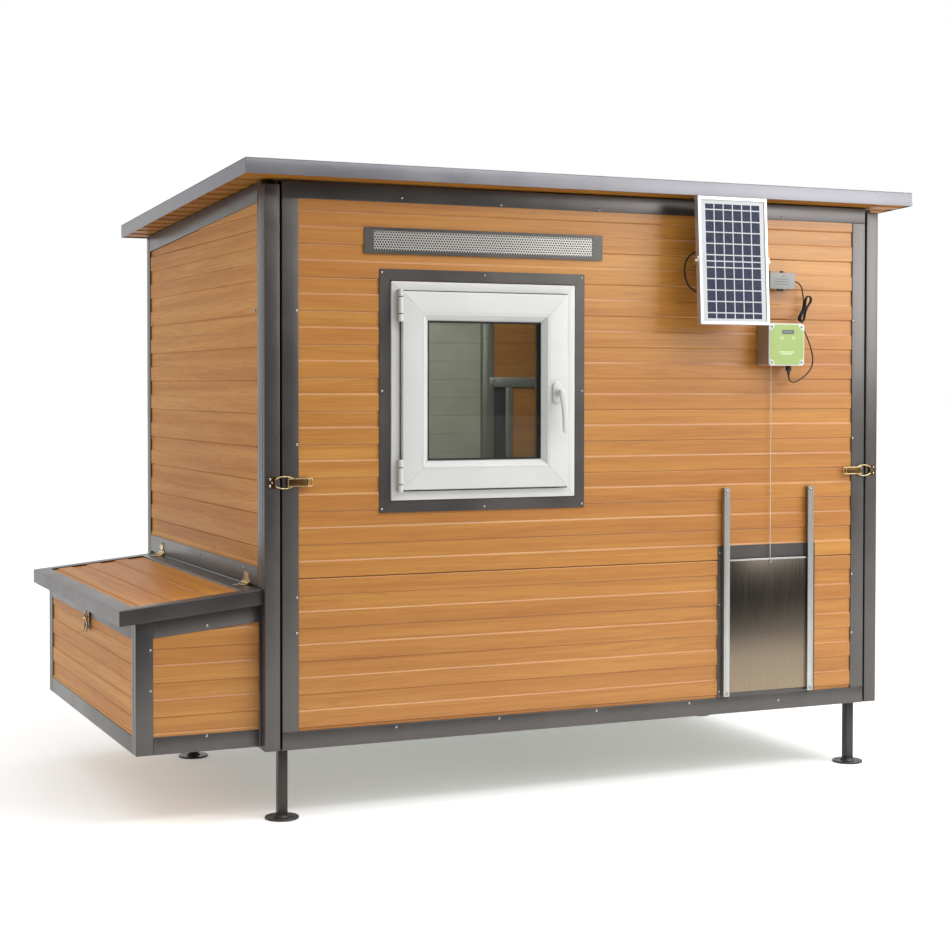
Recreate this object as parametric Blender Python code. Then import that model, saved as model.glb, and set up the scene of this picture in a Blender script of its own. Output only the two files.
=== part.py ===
"""Chicken coop on steel legs, with a side nest box, a PVC window and an automatic pop door.

Working frame, in metres: X runs to the right along the front wall from its left edge, Y runs
to the back from the front wall's outer face, and Z runs up from the ground. One empty,
coop_origin, carries everything and puts the model's own origin under the middle of its box.
Each moving piece hangs from an empty that stands on its joint's axis.
"""
import math

import bmesh
import bpy
from mathutils import Matrix, Vector

GAP = 0.0003            # clearance between pieces that touch
SHEET = 0.0015          # trim sheet thickness

# Walls
WALL_WIDTH = 1.821      # removable front wall
WALL_DEPTH = 1.250      # outer face of the front wall to outer face of the rear wall
WALL_THICK = 0.040      # foam-cored sandwich panel
WALL_BOTTOM = 0.188
FRONT_TOP = 1.6655
REAR_TOP = 1.6085
PROFILE = 0.045         # visible width of the edge profiles
SILL = 0.047            # visible height of the bottom profiles
SKIN_INSET = 0.002      # siding face behind the profile face
TOUCH = 0.0005          # clearance between bodies that move apart
HEAD_RAIL = 1.621       # lower edge of the front wall's top profile
SIDE_LEFT = -0.044      # outer face of the left wall
SIDE_RIGHT = 1.865      # outer face of the right wall
POST_GAP = 0.006
POST_WIDTH = 0.041
POST_DEPTH = 0.034
POST_TOP = 1.655
SIDE_POST = 0.039       # width of the side walls' upright profiles
SIDE_HEAD = 0.050       # height of the side walls' sloping top profiles
NEST_RAIL = (0.610, 0.661)          # left wall's cross rail, above the nest box
ACCESS_X = (-0.034, -0.010)         # board between the coop and the nest box
ENTRANCE_Y = (0.167, 0.467, 0.715, 1.015)
ENTRANCE_Z = (0.290, 0.550)
PERCH_Y = (0.820, 0.870)
PERCH_Z = (0.520, 0.560)
SIDE_FRONT = POST_DEPTH + GAP

# Roof
ROOF_LEFT = -0.118
ROOF_RIGHT = 1.939
ROOF_FRONT = -0.071
ROOF_REAR = 1.286
ROOF_THICK = 0.040
SOFFIT_FRONT = 1.6715   # underside height at the front edge
SOFFIT_REAR = 1.6076    # underside height at the rear edge
FASCIA_LIP = 0.020
ROOF_SLOPE = (SOFFIT_FRONT - SOFFIT_REAR) / (ROOF_REAR - ROOF_FRONT)
ROOF_ANGLE = math.atan(ROOF_SLOPE)

# Floor and legs
TUBE = 0.025
FRAME_BOTTOM = 0.190
FLOOR_BOTTOM = FRAME_BOTTOM + TUBE + GAP
FLOOR_TOP = 0.2453
LEG_X = (0.015, 1.806)
LEG_Y = {"front": 0.0535, "rear": 0.925}
FOOT_RADIUS = 0.045
FOOT_THICK = 0.006

# Nest box and lid
NEST_OUTER = -0.3765
NEST_WALL = 0.020
NEST_FRONT = POST_DEPTH + GAP
NEST_REAR = 1.151
NEST_BOTTOM = 0.197
NEST_RIM = 0.60         # rim height at the wall before it follows the lid
NEST_INNER = 0.008      # uprights where the box meets the coop
NEST_BOARD = 0.018      # thickness of the nest floor and its divider
DIVIDER_TOP = 0.500
LID_SLOPE = 0.1033
LID_ANGLE = math.atan(LID_SLOPE)
LID_TOP_AT_WALL = 0.608
LID_THICK = 0.039
LID_BACK = -0.0475
LID_OUTER = -0.4214
LID_FRONT = 0.018
LID_REAR = 1.166
LID_BORDER = 0.040      # lid profile along the wall
LID_AXIS = Vector((-0.049, 0.0, 0.6125))
LID_BARREL = 0.0028
LEAF_HALF = 0.030       # half the width of a lid hinge
HINGE_Y = {"front": 0.17, "rear": 1.07}

# Window
WINDOW = (0.301, 0.8465, 0.831, 1.413)      # white frame: left, right, bottom, top
WINDOW_FRONT = -0.004
WINDOW_BACK = 0.056
WINDOW_PROFILE = 0.037
WINDOW_CLEAR = 0.0015   # gap between the window and its hole in the siding
WINDOW_TRIM = 0.032     # reach of the trim beyond the white frame
SASH = (0.328, 0.818, 0.859, 1.3865)
SASH_FRONT = -0.019
SASH_PROFILE = 0.077
SASH_AXIS = Vector((0.321, -0.0215, 0.853))
HANDLE_AXIS = Vector((0.7825, -0.0295, 1.118))
HANDLE_HALF_WIDTH = 0.010
HANDLE_REACH = 0.111    # grip length below the spindle
WINDOW_HINGES = {"lower": 0.853, "upper": 1.3055}
WINDOW_HINGE_RADIUS = 0.0065
WINDOW_HINGE_HEIGHT = 0.087
VENT_HOLE = (0.2535, 0.9025, 1.494, 1.546)
VENT_X = (0.226, 0.253, 0.903, 0.934)       # plate edges and mesh edges
VENT_Z = (1.485, 1.4945, 1.5455, 1.554)

# Pop door
TRIM = (1.3137, 1.6475, 0.2353, 0.675)
POP_HOLE = (1.350, 1.6115, 0.262, 0.622)
RAIL_X = (1.3264, 1.6138)
RAIL_WIDTH = 0.0197
RAIL_BOTTOM = 0.2395
RAIL_TOP = 0.843
RAIL_Y = (-0.0140, -0.0085, -0.0045, -0.0001)      # front, groove, back
DOOR = (1.3371, 1.6231, 0.2495, 0.6356)
DOOR_Y = (-0.0078, -0.0052)
CORD_X = 1.487
CORD_Y = -0.0065
CORD_RADIUS = 0.0012
SPOOL_RADIUS = 0.016
SPOOL_HALF_WIDTH = 0.005

# Door opener, charge controller and solar panel
OPENER = (1.4445, 1.5650, 1.195, 1.317)
OPENER_BACK = 0.0015
OPENER_FRONT = -0.055
COVER_FRONT = -0.062
OPENER_SHELL = 0.003
OPENER_FLOOR = 0.0025
CONTROLLER = (1.4620, 1.5534, 1.415, 1.468)
CONTROLLER_FRONT = -0.030
SOLAR_PIVOT = Vector((1.295, -0.101, 1.488))
SOLAR_HALF_WIDTH = 0.114
SOLAR_HALF_HEIGHT = 0.180
SOLAR_HALF_THICK = 0.009
SOLAR_LIP = 0.010
SOLAR_LEAN = math.radians(3.3)
YOKE_CLEAR = 0.001
YOKE_TAB = 0.0035
JUNCTION_HALF_WIDTH = 0.033
JUNCTION_Z = (-0.120, -0.060)

# Draw latches
LATCH_Z = 0.885
LATCH_LEFT = Vector((0.014, -0.006, LATCH_Z))
LATCH_RIGHT = Vector((1.807, -0.006, LATCH_Z))
LATCH_LINK = 0.016      # lever pivot to bail pivot
LATCH_LEVER = (0.066, 0.012)        # length, half width
LATCH_BAIL = (0.052, 0.0125)        # reach, half width
LATCH_WIRE = 0.003
NEST_LATCH = Vector((-0.382, 0.582, 0.498))
NEST_LINK = 0.018
NEST_LEVER = (0.053, 0.015)
NEST_BAIL = (0.046, 0.0155)

# Cables
CABLE_RADIUS = 0.0020
SOLAR_CABLE_RADIUS = 0.0025
SOLAR_CABLE_ROUTE = (
    (1.2617, -0.1022, 1.3980), (1.2450, -0.1015, 1.3980), (1.2250, -0.0920, 1.3965),
    (1.2080, -0.0760, 1.3975), (1.1950, -0.0620, 1.4040), (1.1800, -0.0540, 1.4190),
    (1.1725, -0.0500, 1.4410), (1.1705, -0.0480, 1.4640), (1.1755, -0.0470, 1.4870),
    (1.1880, -0.0460, 1.5030), (1.2070, -0.0460, 1.5150), (1.2350, -0.0460, 1.5230),
    (1.2650, -0.0460, 1.5260), (1.2950, -0.0450, 1.5220), (1.3300, -0.0430, 1.5080),
    (1.3650, -0.0390, 1.4870), (1.3950, -0.0330, 1.4640), (1.4220, -0.0240, 1.4480),
    (1.4447, -0.0170, 1.4410), (1.4617, -0.0150, 1.4400),
)
CHARGE_UPPER_ROUTE = (
    (1.5537, -0.0150, 1.4410), (1.5660, -0.0152, 1.4400), (1.5780, -0.0155, 1.4340),
    (1.5860, -0.0160, 1.4220), (1.5890, -0.0165, 1.4070), (1.5895, -0.0170, 1.3890),
)
CHARGE_LOWER_ROUTE = (
    (1.5842, -0.0200, 1.3190), (1.5852, -0.0225, 1.3080), (1.5890, -0.0265, 1.2950),
    (1.5996, -0.0280, 1.2730), (1.6100, -0.0280, 1.2480), (1.6165, -0.0280, 1.2230),
    (1.6165, -0.0280, 1.2030), (1.6093, -0.0285, 1.1860), (1.5938, -0.0290, 1.1700),
    (1.5720, -0.0295, 1.1555), (1.5560, -0.0300, 1.1490), (1.5430, -0.0300, 1.1490),
    (1.5345, -0.0300, 1.1560), (1.5318, -0.0300, 1.1677),
)
HANK_CENTRE = Vector((1.595, -0.020, 1.3605))
HANK_LEAN = math.radians(21.4)
HANK_WIDTH = 0.026
HANK_LENGTH = 0.086
HANK_THICK = 0.012
PLUG = (1.5318, -0.030, 1.168, 1.1947)      # x, y, low end, high end
PLUG_RADII = (0.0042, 0.0085)

COLOURS = {
    "oak": ((0.56, 0.26, 0.09), 0.45, 0.0),
    "anthracite": ((0.115, 0.105, 0.100), 0.45, 0.3),
    "grey_skin": ((0.42, 0.43, 0.38), 0.5, 0.0),
    "steel": ((0.50, 0.50, 0.49), 0.35, 0.9),
    "bronze": ((0.30, 0.22, 0.12), 0.3, 1.0),
    "pvc": ((0.76, 0.76, 0.75), 0.35, 0.0),
    "glass": ((0.30, 0.34, 0.30), 0.05, 0.0),
    "timber": ((0.55, 0.38, 0.20), 0.6, 0.0),
    "aluminium": ((0.62, 0.62, 0.61), 0.3, 0.95),
    "green": ((0.38, 0.60, 0.17), 0.4, 0.0),
    "box_grey": ((0.24, 0.20, 0.17), 0.5, 0.0),
    "controller": ((0.26, 0.26, 0.26), 0.45, 0.0),
    "cells": ((0.04, 0.04, 0.10), 0.12, 0.0),
    "black": ((0.02, 0.02, 0.02), 0.5, 0.0),
    "cord": ((0.80, 0.79, 0.76), 0.8, 0.0),
}


def clear_scene():
    for obj in list(bpy.data.objects):
        bpy.data.objects.remove(obj, do_unlink=True)


def make_material(name):
    colour, roughness, metallic = COLOURS[name]
    material = bpy.data.materials.get(name) or bpy.data.materials.new(name)
    material.use_nodes = True
    shader = material.node_tree.nodes["Principled BSDF"]
    shader.inputs["Base Color"].default_value = (*colour, 1.0)
    shader.inputs["Roughness"].default_value = roughness
    shader.inputs["Metallic"].default_value = metallic
    return material


def soffit(y):
    """Height of the roof's underside above a point of the plan."""
    return SOFFIT_FRONT - ROOF_SLOPE * (y - ROOF_FRONT)


def lid_underside(x):
    """Height of the closed lid's underside over the nest box."""
    drop = LID_SLOPE * (LID_BACK - x)
    return LID_TOP_AT_WALL - drop - LID_THICK / math.cos(LID_ANGLE)


# Placing

def make_empty(name, place, parent=None, parent_place=Vector((0, 0, 0))):
    empty = bpy.data.objects.new(name, None)
    bpy.context.collection.objects.link(empty)
    empty.parent = parent
    empty.location = place - parent_place
    empty["place"] = tuple(place)
    return empty


def add(name, bm, material, pivot, place=None, turn=(0.0, 0.0, 0.0), smooth=False):
    """Make one object from a mesh.

    Without a place the mesh is in the working frame, and the object's origin goes to its
    lowest corner. With a place the mesh is already drawn about that point.
    """
    if place is None:
        corners = [[vert.co[axis] for vert in bm.verts] for axis in range(3)]
        place = Vector([min(values) for values in corners])
        bmesh.ops.translate(bm, verts=bm.verts, vec=-place)
    bmesh.ops.recalc_face_normals(bm, faces=bm.faces)
    mesh = bpy.data.meshes.new(name)
    bm.to_mesh(mesh)
    bm.free()
    if smooth:
        mesh.shade_smooth()
        mesh.set_sharp_from_angle(angle=math.radians(35))
    mesh.materials.append(make_material(material))
    obj = bpy.data.objects.new(name, mesh)
    bpy.context.collection.objects.link(obj)
    obj.parent = pivot
    obj.location = Vector(place) - Vector(pivot["place"])
    obj.rotation_euler = turn
    return obj


def unite(obj, bm):
    """Weld a second shape, drawn about the object's own origin, onto the object."""
    mesh = bpy.data.meshes.new(obj.name + "_tool")
    bmesh.ops.recalc_face_normals(bm, faces=bm.faces)
    bm.to_mesh(mesh)
    bm.free()
    tool = bpy.data.objects.new(obj.name + "_tool", mesh)
    bpy.context.collection.objects.link(tool)
    tool.parent = obj
    tool.hide_render = True
    tool.display_type = "WIRE"
    weld = obj.modifiers.new("weld", "BOOLEAN")
    weld.operation = "UNION"
    weld.solver = "EXACT"
    weld.object = tool


# Shapes

def cell_body(x_cuts, y_cuts, z_cuts, keep=None, bend=None):
    """Closed body of the kept cells of a block that is cut along its three axes.

    keep(i, j, k) says whether a cell is filled; bend(x, y, z) may move the corners.
    """
    sizes = (len(x_cuts) - 1, len(y_cuts) - 1, len(z_cuts) - 1)

    def filled(cell):
        inside = all(0 <= cell[axis] < sizes[axis] for axis in range(3))
        return inside and (keep is None or keep(*cell))

    bm = bmesh.new()
    corners = {}

    def corner(key):
        if key not in corners:
            point = (x_cuts[key[0]], y_cuts[key[1]], z_cuts[key[2]])
            corners[key] = bm.verts.new(bend(*point) if bend else point)
        return corners[key]

    cells = [(i, j, k) for i in range(sizes[0]) for j in range(sizes[1]) for k in range(sizes[2])]
    for cell in cells:
        if not filled(cell):
            continue
        for axis in range(3):
            for side in (0, 1):
                beside = list(cell)
                beside[axis] += 2 * side - 1
                if filled(tuple(beside)):
                    continue
                first, second = (axis + 1) % 3, (axis + 2) % 3
                quad = []
                for step_a, step_b in ((0, 0), (1, 0), (1, 1), (0, 1)):
                    key = list(cell)
                    key[axis] += side
                    key[first] += step_a
                    key[second] += step_b
                    quad.append(corner(tuple(key)))
                bm.faces.new(quad if side else quad[::-1])
    return bm


def block(x, y, z, bend=None):
    return cell_body(x, y, z, bend=bend)


def cylinder(radius, low, high, axis="Z", segments=32):
    """Closed cylinder between two points that differ along one axis."""
    bm = bmesh.new()
    length = (Vector(high) - Vector(low)).length
    turn = {"Z": Matrix(), "X": Matrix.Rotation(math.pi / 2, 4, "Y"),
            "Y": Matrix.Rotation(math.pi / 2, 4, "X")}[axis]
    middle = Matrix.Translation((Vector(low) + Vector(high)) / 2)
    bmesh.ops.create_cone(bm, cap_ends=True, segments=segments, radius1=radius,
                          radius2=radius, depth=length, matrix=middle @ turn)
    return bm


def stadium(width, length, thick, segments=12):
    """Plate with round ends, long along Z and thin along Y, about its own middle."""
    reach = (length - width) / 2
    outline = []
    for end, start in ((1, 0.0), (-1, math.pi)):
        for step in range(segments + 1):
            angle = start + math.pi * step / segments
            outline.append((width / 2 * math.cos(angle), end * reach + width / 2 * math.sin(angle)))
    bm = bmesh.new()
    face = bm.faces.new([bm.verts.new((x, -thick / 2, z)) for x, z in outline])
    grown = bmesh.ops.extrude_face_region(bm, geom=[face])
    moved = [item for item in grown["geom"] if isinstance(item, bmesh.types.BMVert)]
    bmesh.ops.translate(bm, verts=moved, vec=(0, thick, 0))
    return bm


def smooth_route(points, count):
    """Evenly numbered points on a Catmull-Rom curve through the route's own points."""
    knots = [Vector(point) for point in points]
    knots = [2 * knots[0] - knots[1]] + knots + [2 * knots[-1] - knots[-2]]
    spans = len(points) - 1
    route = []
    for number in range(count):
        where = spans * number / (count - 1)
        span = min(int(where), spans - 1)
        t = where - span
        a, b, c, d = knots[span:span + 4]
        route.append(0.5 * (2 * b + (c - a) * t + (2 * a - 5 * b + 4 * c - d) * t ** 2
                            + (3 * b - a - 3 * c + d) * t ** 3))
    return route


def add_tube(name, points, count, radius, material, pivot):
    """Cable as a bevelled curve along a smooth route."""
    curve = bpy.data.curves.new(name, "CURVE")
    curve.dimensions = "3D"
    curve.bevel_depth = radius
    curve.bevel_resolution = 2
    curve.use_fill_caps = True
    curve.materials.append(make_material(material))
    route = smooth_route(points, count)
    spline = curve.splines.new("POLY")
    spline.points.add(len(route) - 1)
    for target, point in zip(spline.points, route):
        target.co = (*(point - route[0]), 1.0)
    obj = bpy.data.objects.new(name, curve)
    bpy.context.collection.objects.link(obj)
    obj.parent = pivot
    obj.location = route[0] - Vector(pivot["place"])
    return obj


# Bounds of the whole model, from its outermost corners

def front_reach():
    """Foremost Y: the solar panel's lower front edge."""
    return (SOLAR_PIVOT.y - SOLAR_HALF_THICK * math.cos(SOLAR_LEAN)
            - SOLAR_HALF_HEIGHT * math.sin(SOLAR_LEAN))


def rear_reach():
    """Rearmost Y: the roof's upper rear edge."""
    return ROOF_REAR + ROOF_THICK * math.sin(ROOF_ANGLE)


# Structure

def build_floor(root):
    margin = 0.0025
    low, high = margin, WALL_WIDTH - margin
    middle = WALL_WIDTH / 2
    front, back = WALL_THICK + TOUCH, WALL_DEPTH - WALL_THICK - TOUCH
    x_cuts = (low, low + TUBE, middle - TUBE / 2, middle + TUBE / 2, high - TUBE, high)
    y_cuts = (front, front + TUBE + 0.001, LEG_Y["rear"] - TUBE / 2, LEG_Y["rear"] + TUBE / 2,
              back - TUBE, back)
    frame = cell_body(x_cuts, y_cuts, (FRAME_BOTTOM, FRAME_BOTTOM + TUBE),
                      keep=lambda i, j, k: i % 2 == 0 or j % 2 == 0)
    add("base_frame", frame, "anthracite", root)
    floor = block((0.0, WALL_WIDTH), (front, back), (FLOOR_BOTTOM, FLOOR_TOP))
    add("floor_panel", floor, "grey_skin", root)
    for side, x in zip(("left", "right"), LEG_X):
        for end, y in LEG_Y.items():
            half = TUBE / 2
            bar = block((-half, half), (-half, half), (FOOT_THICK / 2, FRAME_BOTTOM - GAP))
            leg = add(f"leg_{end}_{side}", bar, "anthracite", root, place=Vector((x, y, 0.0)))
            unite(leg, cylinder(FOOT_RADIUS, (0, 0, 0), (0, 0, FOOT_THICK)))


def build_posts(root):
    for side, low in (("left", -POST_GAP - POST_WIDTH), ("right", WALL_WIDTH + POST_GAP)):
        post = block((low, low + POST_WIDTH), (0.0, POST_DEPTH), (WALL_BOTTOM, POST_TOP))
        add(f"corner_post_{side}", post, "anthracite", root)


def side_bend(x, y, z):
    """Corners near the head of a side wall follow the sloping soffit."""
    if z > 1.5:
        z = soffit(y) - (SOFFIT_FRONT - z)
    return (x, y, z)


def build_side_walls(root):
    y_cuts = (SIDE_FRONT, SIDE_FRONT + SIDE_POST, WALL_DEPTH - SIDE_POST, WALL_DEPTH)
    head = SOFFIT_FRONT - TOUCH
    head_low = head - SIDE_HEAD
    y_panel = (y_cuts[1] + GAP, y_cuts[2] - GAP)
    sill_top = WALL_BOTTOM + SILL
    rail_low, rail_top = NEST_RAIL

    left = (SIDE_LEFT, SIDE_LEFT + WALL_THICK)
    z_cuts = (WALL_BOTTOM, sill_top, rail_low, rail_top, head_low, head)
    frame = cell_body(left, y_cuts, z_cuts, bend=side_bend,
                      keep=lambda i, j, k: j != 1 or k % 2 == 0)
    add("left_wall_frame", frame, "anthracite", root)
    skins = (left[0] + SKIN_INSET, left[1] - SKIN_INSET)
    panel = block(skins, y_panel, (rail_top + GAP, head_low - GAP), bend=side_bend)
    add("left_wall_panel", panel, "oak", root)

    board = cell_body(ACCESS_X, (y_panel[0], *ENTRANCE_Y, y_panel[1]),
                      (sill_top + GAP, *ENTRANCE_Z, rail_low - GAP),
                      keep=lambda i, j, k: k != 1 or j % 2 == 0)
    add("nest_access_board", board, "timber", root)

    right = (SIDE_RIGHT - WALL_THICK, SIDE_RIGHT)
    frame = cell_body(right, y_cuts, (WALL_BOTTOM, sill_top, head_low, head), bend=side_bend,
                      keep=lambda i, j, k: j != 1 or k != 1)
    add("right_wall_frame", frame, "anthracite", root)
    skins = (right[0] + SKIN_INSET, right[1] - SKIN_INSET)
    panel = block(skins, y_panel, (sill_top + GAP, head_low - GAP), bend=side_bend)
    add("right_wall_panel", panel, "oak", root)


def build_rear_wall(root):
    low, high = SIDE_LEFT + WALL_THICK + GAP, SIDE_RIGHT - WALL_THICK - GAP
    y = (WALL_DEPTH - WALL_THICK, WALL_DEPTH)
    x_cuts = (low, low + PROFILE, high - PROFILE, high)
    z_cuts = (WALL_BOTTOM, WALL_BOTTOM + SILL, REAR_TOP - PROFILE, REAR_TOP)
    frame = cell_body(x_cuts, y, z_cuts, keep=lambda i, j, k: i != 1 or k != 1)
    add("rear_wall_frame", frame, "anthracite", root)
    panel = block((x_cuts[1] + GAP, x_cuts[2] - GAP), (y[0] + SKIN_INSET, y[1] - SKIN_INSET),
                  (z_cuts[1] + GAP, z_cuts[2] - GAP))
    add("rear_wall_panel", panel, "oak", root)


def build_roof(root):
    place = Vector((ROOF_LEFT, ROOF_FRONT, SOFFIT_FRONT))
    turn = (-ROOF_ANGLE, 0.0, 0.0)
    width = ROOF_RIGHT - ROOF_LEFT
    length = (ROOF_REAR - ROOF_FRONT) / math.cos(ROOF_ANGLE)
    x_cuts = (0.0, FASCIA_LIP, width - FASCIA_LIP, width)
    y_cuts = (0.0, FASCIA_LIP, length - FASCIA_LIP, length)
    ring = cell_body(x_cuts, y_cuts, (0.0, ROOF_THICK), keep=lambda i, j, k: i != 1 or j != 1)
    add("roof_fascia", ring, "anthracite", root, place=place, turn=turn)
    panel = block((x_cuts[1] + GAP, x_cuts[2] - GAP), (y_cuts[1] + GAP, y_cuts[2] - GAP),
                  (0.001, ROOF_THICK - 0.001))
    add("roof_panel", panel, "oak", root, place=place, turn=turn)


def build_perch(root):
    low, high = SIDE_LEFT + WALL_THICK, SIDE_RIGHT - WALL_THICK
    bar = block((low + GAP, high - GAP), PERCH_Y, PERCH_Z)
    add("perch_bar", bar, "timber", root)


# Nest box

def nest_bend(x, y, z):
    """Corners at the head of the nest box follow the sloping lid."""
    if z > 0.45:
        z = lid_underside(x) - TOUCH - (NEST_RIM - z)
    return (x, y, z)


def build_nest(root):
    inner = SIDE_LEFT - GAP
    x_cuts = (NEST_OUTER, NEST_OUTER + NEST_WALL, NEST_OUTER + PROFILE, inner - NEST_INNER, inner)
    y_cuts = (NEST_FRONT, NEST_FRONT + NEST_WALL, NEST_FRONT + PROFILE,
              NEST_REAR - PROFILE, NEST_REAR - NEST_WALL, NEST_REAR)
    z_cuts = (NEST_BOTTOM, NEST_BOTTOM + PROFILE, NEST_RIM - PROFILE, NEST_RIM)

    def in_frame(i, j, k):
        on_side = i == 0 and (j != 2 or k != 1)
        on_end = j in (0, 4) and (i != 2 or k != 1)
        return on_side or on_end

    frame = cell_body(x_cuts, y_cuts, z_cuts, keep=in_frame, bend=nest_bend)
    add("nest_frame", frame, "anthracite", root)
    z_panel = (z_cuts[1] + GAP, z_cuts[2] - GAP)
    side = block((NEST_OUTER + SKIN_INSET, NEST_OUTER + NEST_WALL - SKIN_INSET),
                 (y_cuts[2] + GAP, y_cuts[3] - GAP), z_panel, bend=nest_bend)
    add("nest_side_panel", side, "oak", root)
    for end, near in (("front", NEST_FRONT), ("rear", NEST_REAR - NEST_WALL)):
        panel = block((x_cuts[2] + GAP, x_cuts[3] - GAP),
                      (near + SKIN_INSET, near + NEST_WALL - SKIN_INSET), z_panel, bend=nest_bend)
        add(f"nest_{end}_panel", panel, "oak", root)
    middle = (NEST_FRONT + NEST_REAR) / 2
    floor = cell_body((x_cuts[1] + GAP, inner - GAP),
                      (y_cuts[1] + GAP, middle - NEST_BOARD / 2, middle + NEST_BOARD / 2,
                       y_cuts[4] - GAP),
                      (NEST_BOTTOM, NEST_BOTTOM + NEST_BOARD, DIVIDER_TOP),
                      keep=lambda i, j, k: k == 0 or j == 1)
    add("nest_floor", floor, "timber", root)


def lid_bend(x, y, z):
    """Keep the tilted lid's two long edges upright."""
    return (x + z * LID_SLOPE, y, z)


def build_lid(root):
    pivot = make_empty("nest_lid_axis", LID_AXIS, root)
    place = Vector((LID_BACK, 0.0, LID_TOP_AT_WALL))
    turn = (0.0, -LID_ANGLE, 0.0)
    length = (LID_BACK - LID_OUTER) / math.cos(LID_ANGLE)
    x_cuts = (-length, -length + PROFILE, -LID_BORDER, 0.0)
    y_cuts = (LID_FRONT, LID_FRONT + PROFILE, LID_REAR - PROFILE, LID_REAR)
    ring = cell_body(x_cuts, y_cuts, (-LID_THICK, 0.0), bend=lid_bend,
                     keep=lambda i, j, k: i != 1 or j != 1)
    add("lid_frame", ring, "anthracite", pivot, place=place, turn=turn)
    panel = block((x_cuts[1] + GAP, x_cuts[2] - GAP), (y_cuts[1] + GAP, y_cuts[2] - GAP),
                  (-LID_THICK + SKIN_INSET, -SKIN_INSET), bend=lid_bend)
    add("lid_panel", panel, "oak", pivot, place=place, turn=turn)
    for end, y in HINGE_Y.items():
        leaf = block((0.0034, 0.0047), (-LEAF_HALF, LEAF_HALF), (-TOUCH, 0.034))
        hinge = add(f"lid_hinge_{end}", leaf, "bronze", root,
                    place=LID_AXIS + Vector((0.0, y, 0.0)))
        web = block((0.0, 0.0044), (-LEAF_HALF + TOUCH, LEAF_HALF - TOUCH), (0.0010, 0.0022))
        unite(hinge, web)
        barrel = cylinder(LID_BARREL, (0, -LEAF_HALF, 0), (0, LEAF_HALF, 0), axis="Y", segments=16)
        unite(hinge, barrel)


# Front wall

def rectangle_ring(outer, inner, y):
    """Rectangular ring in the front wall's plane; each rectangle is left, right, low, high."""
    x_cuts = (outer[0], inner[0], inner[1], outer[1])
    z_cuts = (outer[2], inner[2], inner[3], outer[3])
    return cell_body(x_cuts, y, z_cuts, keep=lambda i, j, k: i != 1 or k != 1)


def inset(rectangle, by):
    left, right, low, high = rectangle
    return (left + by, right - by, low + by, high - by)


def build_front_wall(wall):
    x_cuts = (0.0, PROFILE, WALL_WIDTH - PROFILE, WALL_WIDTH)
    z_cuts = (WALL_BOTTOM, WALL_BOTTOM + SILL, HEAD_RAIL, FRONT_TOP)
    ring = cell_body(x_cuts, (0.0, WALL_THICK), z_cuts, keep=lambda i, j, k: i != 1 or k != 1)
    add("front_profile_frame", ring, "anthracite", wall)

    holes = (inset(WINDOW, -WINDOW_CLEAR), VENT_HOLE, POP_HOLE)
    x_panel = sorted({x_cuts[1] + GAP, x_cuts[2] - GAP} | {x for hole in holes for x in hole[:2]})
    z_panel = sorted({z_cuts[1] + GAP, z_cuts[2] - GAP} | {z for hole in holes for z in hole[2:]})

    def solid(i, j, k):
        x = (x_panel[i] + x_panel[i + 1]) / 2
        z = (z_panel[k] + z_panel[k + 1]) / 2
        return not any(hole[0] < x < hole[1] and hole[2] < z < hole[3] for hole in holes)

    panel = cell_body(x_panel, (SKIN_INSET, WALL_THICK - SKIN_INSET), z_panel, keep=solid)
    add("front_siding_panel", panel, "oak", wall)


def build_window(wall):
    trim_y = (SKIN_INSET - GAP - SHEET - TOUCH, SKIN_INSET - GAP)
    trim = rectangle_ring(inset(WINDOW, -WINDOW_TRIM), inset(WINDOW, -0.0025), trim_y)
    add("window_trim", trim, "anthracite", wall)
    frame = rectangle_ring(WINDOW, inset(WINDOW, WINDOW_PROFILE), (WINDOW_FRONT, WINDOW_BACK))
    add("window_frame", frame, "pvc", wall)

    axis = make_empty("sash_axis", SASH_AXIS, wall)
    glazed = inset(SASH, SASH_PROFILE)
    flange = rectangle_ring(SASH, glazed, (SASH_FRONT, WINDOW_FRONT - TOUCH))
    bmesh.ops.translate(flange, verts=flange.verts, vec=-SASH_AXIS)
    sash = add("window_sash", flange, "pvc", axis, place=SASH_AXIS)
    body = rectangle_ring(inset(SASH, 0.012), glazed, (WINDOW_FRONT - 0.0015, 0.030))
    bmesh.ops.translate(body, verts=body.verts, vec=-SASH_AXIS)
    unite(sash, body)
    pane = inset(glazed, GAP)
    glass = block(pane[:2], (-0.006, 0.018), pane[2:])
    add("window_glass", glass, "glass", axis)

    for end, low in WINDOW_HINGES.items():
        place = Vector((SASH_AXIS.x, SASH_AXIS.y, low))
        barrel = cylinder(WINDOW_HINGE_RADIUS, (0, 0, 0), (0, 0, WINDOW_HINGE_HEIGHT), segments=24)
        hinge = add(f"window_hinge_{end}", barrel, "pvc", wall, place=place, smooth=True)
        unite(hinge, block((-0.0055, 0.0045), (0.0010, 0.0172), (0.002, WINDOW_HINGE_HEIGHT - 0.002)))

    turn = make_empty("handle_axis", HANDLE_AXIS, axis, SASH_AXIS)
    grip = block((-HANDLE_HALF_WIDTH, HANDLE_HALF_WIDTH), (-0.0325, -0.0205),
                 (-HANDLE_REACH, HANDLE_HALF_WIDTH))
    handle = add("window_handle", grip, "pvc", turn, place=HANDLE_AXIS)
    unite(handle, cylinder(0.0085, (0, -0.0215, 0), (0, 0, 0), axis="Y", segments=24))


def build_vent(wall):
    y_cuts = (-0.0010, 0.0002, SKIN_INSET - GAP)
    vent = cell_body(VENT_X, y_cuts, VENT_Z,
                     keep=lambda i, j, k: j == 1 or i != 1 or k != 1)
    add("vent_grille", vent, "anthracite", wall)


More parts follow.
